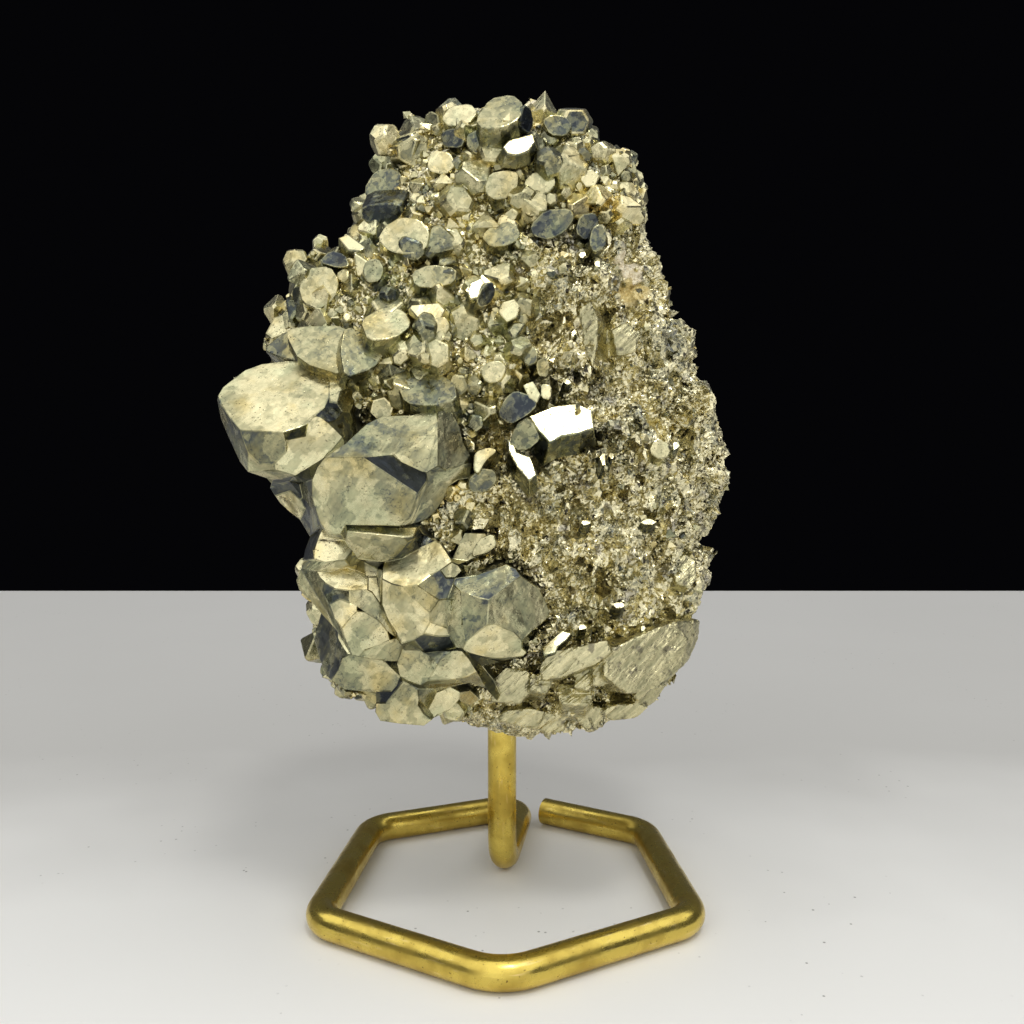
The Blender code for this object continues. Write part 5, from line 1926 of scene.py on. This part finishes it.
@dataclass(frozen=True)
class Lamp:
    """A soft rectangular lamp: where it hangs and what it faces, its width and height, and its watts."""

    name: str
    at: tuple[float, float, float]
    towards: tuple[float, float, float]
    size: tuple[float, float]
    power: float

    def hang(self) -> None:
        """Hang the lamp."""
        light = bpy.data.lights.new(self.name, "AREA")
        light.shape = "RECTANGLE"
        light.size, light.size_y = self.size[0] * MM, self.size[1] * MM
        light.energy = self.power
        lamp = put(self.name, light)
        lamp.location = (Vector(self.at) + STEM_FOOT) * MM
        lamp.rotation_mode = "QUATERNION"
        lamp.rotation_quaternion = (Vector(self.towards) - Vector(self.at)).to_track_quat("-Z", "Y")
        lamp.visible_camera = False


@dataclass
class Studio:
    """A pale table, soft lamps and the camera. None of it is part of the object."""

    table_back: float = 240.0
    table_front: float = -700.0
    table_side: float = 800.0
    table_thickness: float = 20.0
    seen_dark: tuple = (0.0015, 0.0015, 0.002, 1.0)
    mirrored_dark: tuple = (0.10, 0.103, 0.108, 1.0)
    lamps: tuple[Lamp, ...] = (
        Lamp("overhead", (0, -500, 800), (0, -500, 0), (2400, 1700), 16.0),
        Lamp("front", (0, -1300, 300), (0, 0, 50), (2000, 900), 6.0),
        Lamp("key", tuple(950 * direction(20, 64) + Vector((0, 0, 60))), (0, 0, 60), (140, 140), 1.5),
    )

    def build(self) -> None:
        """Build the studio."""
        self.world()
        self.table()
        for lamp in self.lamps:
            lamp.hang()
        self.camera()

    def world(self) -> None:
        """Make the surroundings black to the camera, and very dark in the metal."""
        world = bpy.data.worlds.new("dark_studio")
        bpy.context.scene.world = world
        world.use_nodes = True
        seen = world.node_tree.nodes["Background"]
        seen.inputs["Color"].default_value = self.seen_dark
        writer = NodeWriter(world.node_tree)
        mirrored = writer.add("ShaderNodeBackground", {"Color": self.mirrored_dark})
        by_camera = writer.add("ShaderNodeLightPath").outputs["Is Camera Ray"]
        sources = {0: by_camera, 1: mirrored.outputs[0], 2: seen.outputs[0]}
        mixed = writer.add("ShaderNodeMixShader", sources).outputs[0]
        writer.feed(world.node_tree.nodes["World Output"].inputs[0], mixed)

    def table(self) -> None:
        """Lay the table top."""
        mesh = bpy.data.meshes.new("table_top")
        ends = (-1, self.table_front), (1, self.table_front), (1, self.table_back), (-1, self.table_back)
        levels = (0.0, -self.table_thickness)
        corners = [Vector((side * self.table_side, end, level)) for level in levels for side, end in ends]
        faces = [(0, 1, 2, 3), (7, 6, 5, 4), (0, 4, 5, 1), (1, 5, 6, 2), (2, 6, 7, 3), (3, 7, 4, 0)]
        mesh.from_pydata([(corner + STEM_FOOT) * MM for corner in corners], [], faces)
        mesh.materials.append(TableFinish("pale_table").make())
        put("table_top", mesh)

    def camera(self) -> None:
        """Place the camera."""
        lens = bpy.data.cameras.new("camera")
        lens.lens = 36.0
        lens.sensor_width = 36.0
        lens.clip_start = 0.01
        camera = put("camera", lens)
        camera.location = (Vector(SIGHT.eye) + STEM_FOOT) * MM
        camera.rotation_euler = (math.radians(90.0 - SIGHT.pitch), 0.0, 0.0)
        bpy.context.scene.camera = camera
        bpy.context.scene.view_settings.view_transform = "Standard"


# ------------------------------------------------------------------------------------------- main


def stand_for(piece: bpy.types.Object, node: str) -> None:
    """Let a piece ride on the part and stand for one of its nodes.

    Args:
        piece: The piece.
        node: The node that it stands for.
    """
    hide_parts(node)
    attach(piece, BODY)
    LOG.info("%s: %d faces, stands for %s", piece.name, len(piece.data.polygons), node)


def corners(box: tuple[Vector, Vector]) -> list[list[float]]:
    """Give a box as plain lists of numbers."""
    return [list(corner) for corner in box]


def main() -> None:
    """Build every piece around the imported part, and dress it."""
    logging.basicConfig(level=logging.INFO, format="%(message)s")
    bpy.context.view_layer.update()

    large, medium = LargeCrystals(), MediumCrystals()
    big_faces = CrystalFinish("grown_faces", blotch=2.6, mottle=0.1, pits=0.45, roughness=0.2, wave=0.2)
    small_faces = CrystalFinish("small_faces", blotch=0.9, mottle=0.08, pits=0.6, roughness=0.16, wave=0.14)
    lump = MassiveLump().build(GranularFinish("granular_pyrite"), medium.solids(True), medium.solids(False))
    pieces = [lump, large.build(big_faces), medium.build(small_faces)]
    material = small_faces.make()
    pieces += [growth.build(lump, material) for growth in CRUST]
    pieces.append(BrokenBlocks().build(StreakedFinish("streaked_pyrite")))
    for piece in pieces:
        stand_for(piece, CLUSTER)
    stand_for(WireStand().build(BrassFinish("worn_brass")), STAND)
    Studio().build()


if __name__ == "__main__":
    main()
